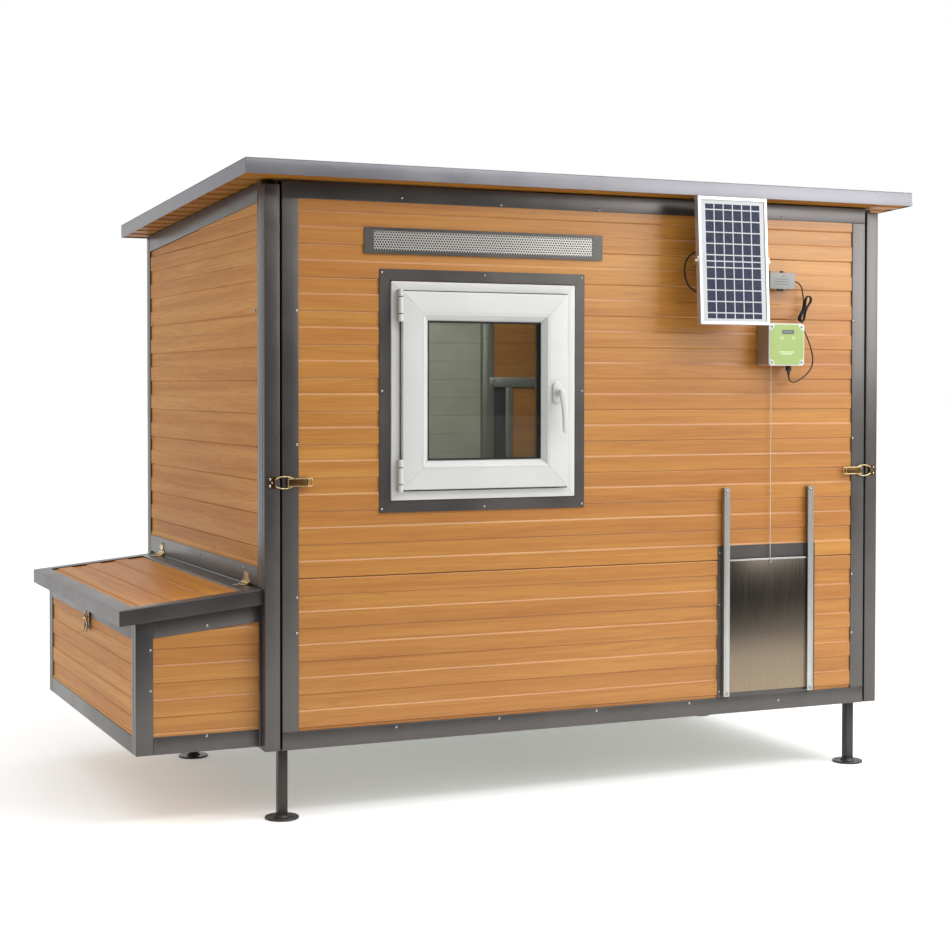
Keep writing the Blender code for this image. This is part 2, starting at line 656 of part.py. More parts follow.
def build_pop_door(wall):
    trim_y = (SKIN_INSET - GAP - SHEET, SKIN_INSET - GAP)
    add("pop_door_trim", rectangle_ring(TRIM, POP_HOLE, trim_y), "anthracite", wall)
    for side, low in zip(("left", "right"), RAIL_X):
        high = low + RAIL_WIDTH
        groove = low + RAIL_WIDTH / 2 if side == "left" else high - RAIL_WIDTH / 2
        open_cell = 1 if side == "left" else 0
        rail = cell_body((low, groove, high), RAIL_Y, (RAIL_BOTTOM, RAIL_TOP),
                         keep=lambda i, j, k, hollow=open_cell: (i, j) != (hollow, 1))
        add(f"guide_rail_{side}", rail, "aluminium", wall)
    slide = make_empty("pop_door_slide", Vector((DOOR[0], DOOR_Y[0], DOOR[2])), wall)
    add("pop_door", block(DOOR[:2], DOOR_Y, DOOR[2:]), "aluminium", slide)
    low, high = DOOR[3] + GAP, OPENER[2] - GAP
    cord = cylinder(CORD_RADIUS, (0, 0, 0), (0, 0, high - low), segments=12)
    add("lift_cord", cord, "cord", wall, place=Vector((CORD_X, CORD_Y, low)), smooth=True)


def build_opener(wall):
    left, right, low, high = OPENER
    base = cell_body((left, left + OPENER_SHELL, right - OPENER_SHELL, right),
                     (OPENER_FRONT, OPENER_BACK - OPENER_FLOOR, OPENER_BACK),
                     (low, low + OPENER_SHELL, high - OPENER_SHELL, high),
                     keep=lambda i, j, k: j == 1 or i != 1 or k != 1)
    add("opener_base", base, "box_grey", wall)
    cover = block((left, right), (COVER_FRONT, OPENER_FRONT - GAP), (low, high))
    add("opener_cover", cover, "green", wall)
    axis = Vector((CORD_X + SPOOL_RADIUS, CORD_Y, (low + high) / 2))
    turn = make_empty("winch_axis", axis, wall)
    spool = cylinder(SPOOL_RADIUS, (0, -SPOOL_HALF_WIDTH, 0), (0, SPOOL_HALF_WIDTH, 0), axis="Y",
                     segments=32)
    add("winch_spool", spool, "black", turn, place=axis, smooth=True)
    left, right, low, high = CONTROLLER
    box = block((left, right), (CONTROLLER_FRONT, OPENER_BACK), (low, high))
    add("charge_controller", box, "controller", wall)


def build_solar(wall):
    reach = SOLAR_HALF_WIDTH + YOKE_CLEAR
    tab = reach + YOKE_TAB
    x_cuts = (-tab, -reach, -0.040, -0.010, 0.010, 0.040, reach, tab)
    y_cuts = (-0.007, 0.017, 0.021, 0.098, 0.1025)
    z_cuts = (-0.045, -0.012, 0.012, 0.042)

    def in_yoke(i, j, k):
        if j == 3:
            return 2 <= i <= 4
        if k != 1:
            return False
        return (j == 0 and i in (0, 6)) or j == 1 or (j == 2 and i == 3)

    yoke = cell_body(x_cuts, y_cuts, z_cuts, keep=in_yoke)
    add("solar_bracket", yoke, "aluminium", wall, place=SOLAR_PIVOT)

    tilt = make_empty("solar_axis", SOLAR_PIVOT, wall)
    turn = (-SOLAR_LEAN, 0.0, 0.0)
    outer = (-SOLAR_HALF_WIDTH, SOLAR_HALF_WIDTH, -SOLAR_HALF_HEIGHT, SOLAR_HALF_HEIGHT)
    inner = inset(outer, SOLAR_LIP)
    ring = rectangle_ring(outer, inner, (-SOLAR_HALF_THICK, SOLAR_HALF_THICK))
    add("solar_frame", ring, "aluminium", tilt, place=SOLAR_PIVOT, turn=turn)
    pane = inset(inner, GAP)
    x_cuts = (pane[0], -JUNCTION_HALF_WIDTH, JUNCTION_HALF_WIDTH, pane[1])
    z_cuts = (pane[2], *JUNCTION_Z, pane[3])
    laminate = cell_body(x_cuts, (-0.0075, -0.0035, 0.0115), z_cuts,
                         keep=lambda i, j, k: j == 0 or (i == 1 and k == 1))
    add("solar_laminate", laminate, "cells", tilt, place=SOLAR_PIVOT, turn=turn)


def build_cables(wall):
    add_tube("solar_cable", SOLAR_CABLE_ROUTE, 58, SOLAR_CABLE_RADIUS, "black", wall)
    add_tube("charge_cable_upper", CHARGE_UPPER_ROUTE, 16, CABLE_RADIUS, "black", wall)
    add_tube("charge_cable_lower", CHARGE_LOWER_ROUTE, 40, CABLE_RADIUS, "black", wall)
    hank = stadium(HANK_WIDTH, HANK_LENGTH, HANK_THICK)
    add("cable_hank", hank, "black", wall, place=HANK_CENTRE, turn=(0.0, HANK_LEAN, 0.0))
    x, y, low, high = PLUG
    plug = bmesh.new()
    bmesh.ops.create_cone(plug, cap_ends=True, segments=20, radius1=PLUG_RADII[0],
                          radius2=PLUG_RADII[1], depth=high - low,
                          matrix=Matrix.Translation((0, 0, (high - low) / 2)))
    add("cable_plug", plug, "black", wall, place=Vector((x, y, low)), smooth=True)


# Latches

def latch_lever(length, half_width):
    """Lever that lies along +X from just behind its pivot."""
    return block((-0.002, length), (-0.0035, 0.0030), (-half_width, half_width))


def latch_bail(reach, half_width, wire):
    """U-shaped loop with its arms on both sides of the lever and its bar at -X."""
    x_cuts = (-reach, -reach + wire, 0.002)
    z_cuts = (-half_width - wire, -half_width, half_width, half_width + wire)
    return cell_body(x_cuts, (-wire / 2, wire / 2), z_cuts,
                     keep=lambda i, j, k: i == 0 or k != 1)


def add_latch(side, axis, parent, mirror):
    """Draw latch of the front wall; mirror is 1 on the left and -1 on the right."""
    flip = Matrix.Diagonal((mirror, 1.0, 1.0, 1.0))
    pivot = make_empty(f"{side}_latch_axis", axis, parent)
    lever = latch_lever(*LATCH_LEVER)
    lever.transform(flip)
    add(f"{side}_latch_lever", lever, "bronze", pivot, place=axis)
    link = axis + Vector((mirror * LATCH_LINK, 0.0, 0.0))
    bail_pivot = make_empty(f"{side}_bail_axis", link, pivot, axis)
    bail = latch_bail(*LATCH_BAIL, LATCH_WIRE)
    bail.transform(flip)
    add(f"{side}_latch_bail", bail, "bronze", bail_pivot, place=link)


def build_latches(root, wall):
    add_latch("left", LATCH_LEFT, wall, 1.0)
    add_latch("right", LATCH_RIGHT, wall, -1.0)
    # The nest box latch hangs: its lever points down and its face looks to -X.
    facing = Matrix(((0, 1, 0, 0), (0, 0, 1, 0), (-1, 0, 0, 0), (0, 0, 0, 1)))
    pivot = make_empty("nest_latch_axis", NEST_LATCH, root)
    lever = latch_lever(*NEST_LEVER)
    lever.transform(facing)
    add("nest_latch_lever", lever, "bronze", pivot, place=NEST_LATCH)
    link = NEST_LATCH - Vector((0.0, 0.0, NEST_LINK))
    bail_pivot = make_empty("nest_bail_axis", link, pivot, NEST_LATCH)
    bail = latch_bail(*NEST_BAIL, LATCH_WIRE)
    bail.transform(facing)
    add("nest_latch_bail", bail, "bronze", bail_pivot, place=link)


def main():
    clear_scene()
    root = make_empty("coop_origin", Vector((0.0, 0.0, 0.0)))
    middle_x = (LID_OUTER + ROOF_RIGHT) / 2
    middle_y = (front_reach() + rear_reach()) / 2
    root.location = (-middle_x, -middle_y, 0.0)
    build_floor(root)
    build_posts(root)
    build_side_walls(root)
    build_rear_wall(root)
    build_roof(root)
    build_perch(root)
    build_nest(root)
    build_lid(root)
    wall = make_empty("front_wall_slide", Vector((0.0, 0.0, 0.0)), root)
    build_front_wall(wall)
    build_window(wall)
    build_vent(wall)
    build_pop_door(wall)
    build_opener(wall)
    build_solar(wall)
    build_cables(wall)
    build_latches(root, wall)


main()
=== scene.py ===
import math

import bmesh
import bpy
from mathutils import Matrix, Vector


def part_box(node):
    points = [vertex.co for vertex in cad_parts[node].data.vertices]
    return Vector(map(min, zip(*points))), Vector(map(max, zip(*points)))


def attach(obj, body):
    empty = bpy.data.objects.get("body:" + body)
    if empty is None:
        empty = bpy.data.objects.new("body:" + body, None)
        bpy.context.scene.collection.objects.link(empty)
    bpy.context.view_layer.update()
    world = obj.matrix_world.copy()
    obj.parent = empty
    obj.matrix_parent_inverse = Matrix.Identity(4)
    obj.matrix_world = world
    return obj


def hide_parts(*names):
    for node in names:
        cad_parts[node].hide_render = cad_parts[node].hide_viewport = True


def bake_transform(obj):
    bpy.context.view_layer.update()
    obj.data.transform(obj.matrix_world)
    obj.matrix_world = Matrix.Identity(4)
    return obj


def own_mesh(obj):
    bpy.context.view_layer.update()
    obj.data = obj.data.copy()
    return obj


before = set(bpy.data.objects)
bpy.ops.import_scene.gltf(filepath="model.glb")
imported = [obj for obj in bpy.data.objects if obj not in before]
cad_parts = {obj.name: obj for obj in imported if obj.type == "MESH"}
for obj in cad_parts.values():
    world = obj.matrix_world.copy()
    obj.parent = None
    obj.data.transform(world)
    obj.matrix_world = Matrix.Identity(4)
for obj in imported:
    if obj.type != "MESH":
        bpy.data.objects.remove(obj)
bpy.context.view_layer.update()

# Looks of the chicken coop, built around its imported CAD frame.
#
# Pieces are drawn in the CAD source's working frame, in metres: X runs to the right along the
# front wall from its left edge, Y runs to the back from that wall's outer face, Z runs up from
# the ground. ORIGIN carries them to the row frame. Most sizes come from the CAD nodes' boxes.

ORIGIN = Vector((*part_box("front_profile_frame")[0][:2], 0.0))
GAP = 0.0003                # clearance between pieces that touch
ROOF_SLOPE = 0.0471         # fall of the roof towards the back
ROOF_ANGLE = math.atan(ROOF_SLOPE)
LID_SLOPE = 0.1033          # fall of the nest lid away from the wall
LID_ANGLE = math.atan(LID_SLOPE)
PROFILE = 0.045             # visible width of the edge profiles
NEST_INNER = 0.008          # width of the nest box's uprights at the coop
SILL = 0.047                # visible height of the bottom profiles
RIB_PITCH = 0.0872
RIB_WIDTH = 0.0436
RIB_STEP = 0.0026           # depth of the siding's ribs
RIB_EDGE = 0.0046           # height of a raised band's sloping upper edge
RIB_FOOT = 0.0028           # height of its lower edge
RIB_CREASE = 0.0009         # extra depth of the crease under a raised band
RIB_FLAT = 0.0012           # first flat stretch beside a rib's edge
SHEET_JOINT = 0.63375       # height of the joint between the front wall's two siding sheets
NEST_BAND_START = 0.3800    # lower edge of one raised band of the nest box
PROFILE_EDGE = 0.0012       # rounding of the profiles' edges
FRAME_SCREW = 0.0034        # head radius of the screws in the profiles
ROOF_RUN = 1.357            # depth of the roof in plan
EAVES = 1.5                 # what a side wall has above this height follows the roof
NEST_RIM = 0.45             # what the nest box has above this height follows its lid
WINDOW_CLEAR = 0.0015       # gap between the window frame and the siding


def span(node):
    """Lowest and highest corner of a CAD node in the working frame."""
    low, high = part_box(node)
    return low - ORIGIN, high - ORIGIN


# ---------------------------------------------------------------- camera and cords

CAMERA_PLACE = Vector((-1.4645, -4.4945, 1.1348))
CAMERA_TURN = (88.7038, -0.0628, -24.0955)
CAMERA_LENS = 68.95
CAMERA_SHIFT = -0.0501


def make_camera():
    data = bpy.data.cameras.new("camera")
    data.sensor_width = 36.0
    data.lens = CAMERA_LENS
    data.shift_y = CAMERA_SHIFT
    camera = bpy.data.objects.new("camera", data)
    camera.location = ORIGIN + CAMERA_PLACE
    camera.rotation_euler = [math.radians(angle) for angle in CAMERA_TURN]
    bpy.context.collection.objects.link(camera)
    bpy.context.scene.camera = camera


SOLAR_CABLE_DIAMETER = 0.0050
SOLAR_CABLE_ROUTE = (
    (1.2617, -0.1022, 1.3980), (1.2450, -0.1015, 1.3980), (1.2250, -0.0920, 1.3965),
    (1.2080, -0.0760, 1.3975), (1.1950, -0.0620, 1.4040), (1.1800, -0.0540, 1.4190),
    (1.1725, -0.0500, 1.4410), (1.1705, -0.0480, 1.4640), (1.1755, -0.0470, 1.4870),
    (1.1880, -0.0460, 1.5030), (1.2070, -0.0460, 1.5150), (1.2350, -0.0460, 1.5230),
    (1.2650, -0.0460, 1.5260), (1.2950, -0.0450, 1.5220), (1.3300, -0.0430, 1.5080),
    (1.3650, -0.0390, 1.4870), (1.3950, -0.0330, 1.4640), (1.4220, -0.0240, 1.4480),
    (1.4447, -0.0170, 1.4410), (1.4617, -0.0150, 1.4400),
)
CHARGE_CABLE_DIAMETER = 0.0040
CHARGE_UPPER_ROUTE = (
    (1.5537, -0.0150, 1.4410), (1.5660, -0.0152, 1.4400), (1.5780, -0.0155, 1.4340),
    (1.5860, -0.0160, 1.4220), (1.5890, -0.0165, 1.4070), (1.5895, -0.0165, 1.3930),
)
CHARGE_LOWER_ROUTE = (
    (1.5842, -0.0215, 1.3170), (1.5852, -0.0225, 1.3080), (1.5890, -0.0265, 1.2950),
    (1.5996, -0.0280, 1.2730), (1.6100, -0.0280, 1.2480), (1.6165, -0.0280, 1.2230),
    (1.6165, -0.0280, 1.2030), (1.6093, -0.0285, 1.1860), (1.5938, -0.0290, 1.1700),
    (1.5720, -0.0295, 1.1555), (1.5560, -0.0300, 1.1490), (1.5430, -0.0300, 1.1490),
    (1.5345, -0.0300, 1.1560), (1.5318, -0.0300, 1.1677),
)
HANK_CENTRE = Vector((1.5950, -0.0200, 1.3605))
HANK_LEAN = math.radians(21.4)
HANK_TOP_REACH = 0.0300     # centre of the hank to the centre of its upper folds
HANK_LOW_REACH = 0.0290
HANK_TOP_WIDTH = 0.0110     # half the width across the upper folds
HANK_LOW_WIDTH = 0.0085
HANK_WAIST = 0.0046         # half the width at the tie
HANK_LAYERS = (-0.0160, -0.0200, -0.0240)
HANK_SPREAD = 0.40          # sideways shift of a layer as a share of its depth from the middle one


def smooth_route(points, count):
    """Evenly numbered points on a Catmull-Rom curve through the route's own points."""
    knots = [Vector(point) for point in points]
    knots = [2 * knots[0] - knots[1]] + knots + [2 * knots[-1] - knots[-2]]
    spans = len(points) - 1
    route = []
    for number in range(count):
        where = spans * number / (count - 1)
        index = min(int(where), spans - 1)
        t = where - index
        a, b, c, d = knots[index:index + 4]
        route.append(0.5 * (2 * b + (c - a) * t + (2 * a - 5 * b + 4 * c - d) * t ** 2
                            + (3 * b - a - 3 * c + d) * t ** 3))
    return route


def hank_point(across, along, depth):
    """Point of the hank from its place across and along the leaning hank."""
    across += HANK_SPREAD * (HANK_LAYERS[1] - depth)
    x = HANK_CENTRE.x + across * math.cos(HANK_LEAN) + along * math.sin(HANK_LEAN)
    z = HANK_CENTRE.z - across * math.sin(HANK_LEAN) + along * math.cos(HANK_LEAN)
    return (x, depth, z)


def hank_half_width(along):
    """Half the distance between the down run and the up run, pinched by the tie."""
    if along > 0:
        share, wide = along / HANK_TOP_REACH, HANK_TOP_WIDTH
    else:
        share, wide = -along / HANK_LOW_REACH, HANK_LOW_WIDTH
    share = share * share * (3 - 2 * share)
    return HANK_WAIST + (wide - HANK_WAIST) * share


def hank_run(depth, side, downwards, steps=9):
    run = []
    for step in range(steps):
        along = HANK_TOP_REACH - (HANK_TOP_REACH + HANK_LOW_REACH) * step / (steps - 1)
        run.append(hank_point(side * hank_half_width(along), along, depth))
    return run if downwards else run[::-1]


def hank_fold(centre, width, first, last, steps=6):
    """Half circle beyond a run's end; the cable moves from one depth to the next on its way."""
    fold = []
    turn = 1 if centre > 0 else -1
    for step in range(1, steps):
        angle = math.pi * step / steps
        across = turn * width * math.cos(angle)
        along = centre + turn * width * math.sin(angle)
        fold.append(hank_point(across, along, first + (last - first) * step / steps))
    return fold


def hank_route():
    """Three down runs and two up runs, layer by layer, tied at the waist."""
    route = []
    for number, depth in enumerate(HANK_LAYERS):
        route += hank_run(depth, -1, downwards=True)
        if number + 1 < len(HANK_LAYERS):
            route += hank_fold(-HANK_LOW_REACH, HANK_LOW_WIDTH, depth, depth)
            route += hank_run(depth, 1, downwards=False)
            route += hank_fold(HANK_TOP_REACH, HANK_TOP_WIDTH, depth, HANK_LAYERS[number + 1])
    front = HANK_LAYERS[-1]
    route.append(hank_point(-0.0060, -HANK_LOW_REACH - 0.0060, front - 0.0003))
    route.append(hank_point(-0.0010, -HANK_LOW_REACH - 0.0110, front))
    return route


# ---------------------------------------------------------------- materials

def tone(red, green, blue):
    """Linear colour from sRGB values between 0 and 255."""
    linear = []
    for value in (red, green, blue):
        share = value / 255
        linear.append(share / 12.92 if share <= 0.04045 else ((share + 0.055) / 1.055) ** 2.4)
    return (*linear, 1.0)


def scaled(colour, share):
    """Linear colour made darker or lighter."""
    return tuple(share * value for value in colour[:3]) + (1.0,)


class Finish:
    """One material under construction: short calls that add and wire its nodes."""

    def __init__(self, name, roughness, metallic=0.0, **sockets):
        self.material = bpy.data.materials.new(name)
        self.material.use_nodes = True
        self.tree = self.material.node_tree
        self.shader = self.tree.nodes["Principled BSDF"]
        self.shader.inputs["Roughness"].default_value = roughness
        self.shader.inputs["Metallic"].default_value = metallic
        for socket, value in sockets.items():
            self.shader.inputs[socket.replace("_", " ")].default_value = value
        self.place = self.tree.nodes.new("ShaderNodeTexCoord").outputs["Object"]

    def node(self, kind, inputs, **settings):
        made = self.tree.nodes.new(kind)
        for name, value in settings.items():
            setattr(made, name, value)
        for socket, value in inputs.items():
            if isinstance(value, bpy.types.NodeSocket):
                self.tree.links.new(value, made.inputs[socket])
            else:
                made.inputs[socket].default_value = value
        return made

    def noise(self, scale, detail=4.0, roughness=0.55, distortion=0.0, shift=(0, 0, 0)):
        """Noise whose grain is one unit over scale along each axis."""
        spread = self.node("ShaderNodeMapping", {"Vector": self.place, "Scale": scale,
                                                 "Location": shift})
        made = self.node("ShaderNodeTexNoise", {
            "Vector": spread.outputs["Vector"], "Scale": 1.0, "Detail": detail,
            "Roughness": roughness, "Distortion": distortion})
        return made.outputs["Fac"]

    def ramp(self, value, stops):
        made = self.node("ShaderNodeValToRGB", {"Fac": value})
        points = made.color_ramp.elements
        while len(points) < len(stops):
            points.new(0.5)
        for point, (where, colour) in zip(points, stops):
            point.position = where
            point.color = colour
        return made.outputs["Color"]

    def level(self, value, low, high, to_low, to_high):
        made = self.node("ShaderNodeMapRange", {
            "Value": value, "From Min": low, "From Max": high,
            "To Min": to_low, "To Max": to_high})
        return made.outputs["Result"]

    def mix(self, share, first, second, blend="MIX"):
        made = self.node("ShaderNodeMixRGB", {"Fac": share, "Color1": first, "Color2": second},
                         blend_type=blend)
        return made.outputs["Color"]

    def colour(self, value):
        self.tree.links.new(value, self.shader.inputs["Base Color"])

    def shine(self, value):
        self.tree.links.new(value, self.shader.inputs["Roughness"])

    def bump(self, height, strength, distance):
        made = self.node("ShaderNodeBump", {"Height": height, "Strength": strength,
                                            "Distance": distance})
        self.tree.links.new(made.outputs["Normal"], self.shader.inputs["Normal"])


MATERIALS = {}


def stretch(along, long_scale, cross_scale):
    """Scale vector of a grain that runs along one axis: 0 is X, 1 is Y, 2 is Z."""
    return tuple(long_scale if axis == along else cross_scale for axis in range(3))


def oak_finish(name, along, light=0.95, gloss=0.65):
    """Golden oak film: long streaks, fine pores, faint flame figure and a satin top coat."""
    made = Finish(name, 0.40, Specular_IOR_Level=gloss)
    streaks = made.noise(stretch(along, 0.42, 24.0), 5.0, 0.58, 0.25)
    flames = made.noise(stretch(along, 1.1, 26.0), 2.0, 0.5, 1.1, (3.1, 5.7, 1.3))
    pores = made.noise(stretch(along, 9.0, 420.0), 3.0, 0.6)
    patches = made.noise(stretch(along, 0.8, 3.2), 2.0, 0.5, 0.0, (7.0, 2.0, 9.0))
    grain = ((0.28, (170, 111, 42)), (0.46, (180, 122, 50)), (0.60, (188, 132, 57)),
             (0.78, (199, 145, 69)))
    # light scales every grain colour: copies of this oak are painted lighter or darker for the light on the
    # faces they cover, painted light and shade.
    base = made.ramp(streaks, [(where, scaled(tone(*colour), light)) for where, colour in grain])
    flame = made.ramp(flames, ((0.42, tone(255, 255, 255)), (0.49, tone(232, 216, 196)),
                               (0.54, tone(255, 255, 255))))
    toned = made.mix(0.45, base, flame, "MULTIPLY")
    pore = made.ramp(pores, ((0.36, tone(214, 192, 164)), (0.50, tone(255, 255, 255))))
    toned = made.mix(0.34, toned, pore, "MULTIPLY")
    patch = made.ramp(patches, ((0.32, tone(244, 234, 224)), (0.66, tone(255, 255, 255))))
    made.colour(made.mix(1.0, toned, patch, "MULTIPLY"))
    made.shine(made.level(streaks, 0.3, 0.7, 0.41, 0.35))
    made.bump(pores, 0.10, 0.0004)
    return made.material


def coat_finish(name, colour, roughness=0.42, metallic=0.25):
    """Powder coat: fine orange peel, a trace of tone variation and slightly uneven gloss."""
    made = Finish(name, roughness, metallic)
    peel = made.noise((900, 900, 900), 2.0)
    cloud = made.noise((5, 5, 5), 3.0, 0.6)
    made.colour(made.ramp(cloud, ((0.35, scaled(colour, 0.90)), (0.65, scaled(colour, 1.08)))))
    made.shine(made.level(cloud, 0.3, 0.7, roughness - 0.05, roughness + 0.05))
    made.bump(peel, 0.07, 0.0003)
    return made.material


def moulded_finish(name, colour, roughness=0.30, grain=500, strength=0.04, coat=0.0):
    """Moulded or extruded plastic: faint mottling and a very fine surface grain."""
    made = Finish(name, roughness, 0.0, Coat_Weight=coat, Coat_Roughness=0.08)
    cloud = made.noise((7, 7, 7), 3.0, 0.6)
    fine = made.noise((grain, grain, grain), 3.0)
    made.colour(made.ramp(cloud, ((0.35, scaled(colour, 0.95)), (0.65, colour))))
    made.shine(made.level(fine, 0.3, 0.7, roughness - 0.03, roughness + 0.04))
    made.bump(fine, strength, 0.0003)
    return made.material


def brushed_finish(name, colour, along, roughness=0.30, streak=0.10, metallic=1.0):
    """Brushed metal: streaks along one axis in tone, gloss and relief."""
    made = Finish(name, roughness, metallic)
    brush = made.noise(stretch(along, 6.0, 900.0), 4.0, 0.6)
    cloud = made.noise((6, 6, 6), 3.0, 0.6)
    darker = scaled(colour, 0.82)
    toned = made.ramp(brush, ((0.30, darker), (0.70, colour)))
    made.colour(made.mix(0.5, toned, made.ramp(cloud, ((0.35, darker), (0.65, colour)))))
    made.shine(made.level(brush, 0.3, 0.7, roughness - streak, roughness + streak))
    made.bump(brush, 0.08, 0.0003)
    return made.material


def cast_finish(name, colour, roughness=0.28, metallic=1.0):
    """Plated pressed hardware: small scuffs and patchy gloss."""
    made = Finish(name, roughness, metallic)
    scuff = made.noise((160, 160, 160), 5.0, 0.7)
    cloud = made.noise((45, 45, 45), 3.0, 0.6)
    made.colour(made.ramp(cloud, ((0.30, scaled(colour, 0.72)), (0.62, colour))))
    made.shine(made.level(scuff, 0.3, 0.7, roughness - 0.08, roughness + 0.14))
    made.bump(scuff, 0.10, 0.0003)
    return made.material


def timber_finish(name, along):
    """Planed spruce: growth rings stretched along the board, with darker late wood."""
    made = Finish(name, 0.55)
    rings = made.noise(stretch(along, 1.5, 38.0), 5.0, 0.6, 1.2)
    fibre = made.noise(stretch(along, 12.0, 500.0), 3.0)
    toned = made.ramp(rings, ((0.34, tone(150, 108, 62)), (0.50, tone(196, 158, 104)),
                              (0.68, tone(214, 180, 128))))
    made.colour(made.mix(0.25, toned, made.ramp(fibre, ((0.3, tone(150, 110, 70)),
                                                        (0.6, tone(230, 205, 160))))))
    made.bump(fibre, 0.20, 0.0005)
    return made.material


def glass_finish():
    made = Finish("glass", 0.01, 0.0, Transmission_Weight=1.0, IOR=1.45)
    smear = made.noise((4, 4, 4), 3.0, 0.6)
    made.colour(made.ramp(smear, ((0.3, (0.93, 0.96, 0.93, 1.0)), (0.7, (0.97, 0.99, 0.97, 1.0)))))
    made.shine(made.level(smear, 0.3, 0.7, 0.004, 0.014))
    return made.material


def door_finish():
    """Stainless sheet, brushed upright, with a painted reflection that changes with height: light at the
    foot, darkest high up, a little lighter again at the top.
    """
    made = Finish("door_steel", 0.27, 1.0)
    brush = made.noise(stretch(2, 5.0, 700.0), 4.0, 0.6)
    height = made.node("ShaderNodeSeparateXYZ", {"Vector": made.place}).outputs["Z"]
    # Painted reflection: the sheet's colour follows its height in place of the reflections it would show.
    belt = made.ramp(made.level(height, 0.25, 0.64, 0.0, 1.0),
                     ((0.0, tone(146, 132, 112)), (0.24, tone(130, 118, 101)), (0.44, tone(96, 88, 78)),
                      (0.70, tone(84, 78, 71)), (1.0, tone(104, 97, 88))))
    streak = made.ramp(brush, ((0.25, tone(232, 232, 232)), (0.75, tone(255, 255, 255))))
    made.colour(made.mix(1.0, belt, streak, "MULTIPLY"))
    made.shine(made.level(brush, 0.3, 0.7, 0.24, 0.32))
    made.bump(brush, 0.05, 0.0003)
    return made.material


def cell_finish():
    """Polycrystalline silicon under glass: angular crystal flakes of slightly different blue."""
    made = Finish("cells", 0.4, 0.0, Specular_IOR_Level=0.12)
    flakes = made.node("ShaderNodeTexVoronoi", {"Vector": made.place, "Scale": 240.0})
    made.colour(made.ramp(flakes.outputs["Color"], ((0.0, tone(34, 36, 54)), (1.0, tone(54, 57, 78)))))
    return made.material


def make_materials():
    MATERIALS.update(
        oak_x=oak_finish("oak_x", 0),
        # A copy of the oak painted lighter (1.20) for the side walls, the nest box's side and the lid,
        # whose grain runs along Y: painted light.
        oak_y=oak_finish("oak_y", 1, 1.20, 0.06),
        # A copy of the oak painted darker (0.75) for the roof's soffit and the boards inside: painted
        # shade.
        oak_dim=oak_finish("oak_inside", 0, 0.75, 0.05),
        coat=coat_finish("anthracite", tone(93, 90, 88), 0.35, 0.78),
        # A lighter copy of the anthracite coat for the roof fascia: painted light for the light its front
        # and top catch.
        fascia=coat_finish("fascia_coat", tone(132, 131, 136), 0.42, 0.5),
        leg=coat_finish("leg_steel", tone(56, 52, 49), 0.38, 0.3),
        skin=coat_finish("inner_skin", tone(158, 160, 142), 0.5, 0.0),
        zinc=brushed_finish("zinc_steel", tone(150, 152, 142), 2, 0.42, 0.08, 0.7),
        timber_x=timber_finish("timber_x", 0),
        timber_y=timber_finish("timber_y", 1),
        bronze=cast_finish("bronze", tone(104, 78, 48), 0.34),
        # Bright gold copy of the dark bronze hardware: on the latches' edges, pins and wires it is painted
        # highlight; the lid hinges are drawn in it too.
        brass=cast_finish("brass", tone(214, 188, 142), 0.24),
        nickel=cast_finish("nickel", tone(148, 128, 104), 0.24),
        pvc=moulded_finish("pvc", tone(203, 203, 201), 0.30, 400, 0.03),
        # A darker beige copy of the PVC for the window hinges' leaves: painted shade.
        pvc_shade=moulded_finish("pvc_shade", tone(176, 168, 154), 0.4, 400, 0.03),
        seal=moulded_finish("seal", tone(26, 25, 25), 0.6, 700, 0.12),
        glass=glass_finish(),
        spacer=brushed_finish("spacer", tone(60, 60, 58), 2, 0.35),
        alu_door=door_finish(),
        alu=brushed_finish("rail_alu", tone(196, 196, 192), 2, 0.32, 0.06),
        mesh=brushed_finish("perforated_steel", tone(222, 219, 214), 0, 0.35, 0.08, 0.7),
        screw=cast_finish("screw_zinc", tone(206, 204, 200), 0.24),
        # Near black: in cross recesses, slots, screw holes and knuckle gaps it is painted shade.
        recess=moulded_finish("recess", tone(14, 13, 13), 0.7),
        housing=moulded_finish("housing", tone(148, 124, 104), 0.36, 300, 0.08),
        cover=moulded_finish("cover", tone(196, 200, 196), 0.32, 300, 0.06),
        label=moulded_finish("label", tone(148, 168, 98), 0.42, 900, 0.05),
        mark=moulded_finish("mark", tone(204, 218, 176), 0.42, 900, 0.05),
        display=moulded_finish("display", tone(84, 90, 98), 0.18, 900, 0.02, 0.6),
        controller=moulded_finish("controller", tone(136, 136, 132), 0.44, 350, 0.10),
        black=moulded_finish("black_plastic", tone(22, 21, 21), 0.42, 350, 0.10),
        cable=moulded_finish("cable", tone(8, 8, 8), 0.55, 700, 0.10),
        cord=moulded_finish("cord", tone(198, 190, 172), 0.8, 900, 0.4),
        solar_frame=brushed_finish("solar_frame", tone(190, 191, 192), 2, 0.34, 0.06, 0.60),
        backsheet=moulded_finish("backsheet", tone(178, 179, 181), 0.34, 500, 0.02),
        cells=cell_finish(),
    )


# ---------------------------------------------------------------- shapes

class Shape:
    """Closed parts of one piece, gathered with a material number for each part."""

    def __init__(self):
        self.points = []
        self.faces = []
        self.numbers = []

    def take(self, bm, place=Matrix(), number=0):
        bmesh.ops.recalc_face_normals(bm, faces=bm.faces)
        bm.verts.index_update()
        start = len(self.points)
        self.points.extend(place @ vert.co for vert in bm.verts)
        for face in bm.faces:
            self.faces.append([start + vert.index for vert in face.verts])
            self.numbers.append(number)
        bm.free()
        return self


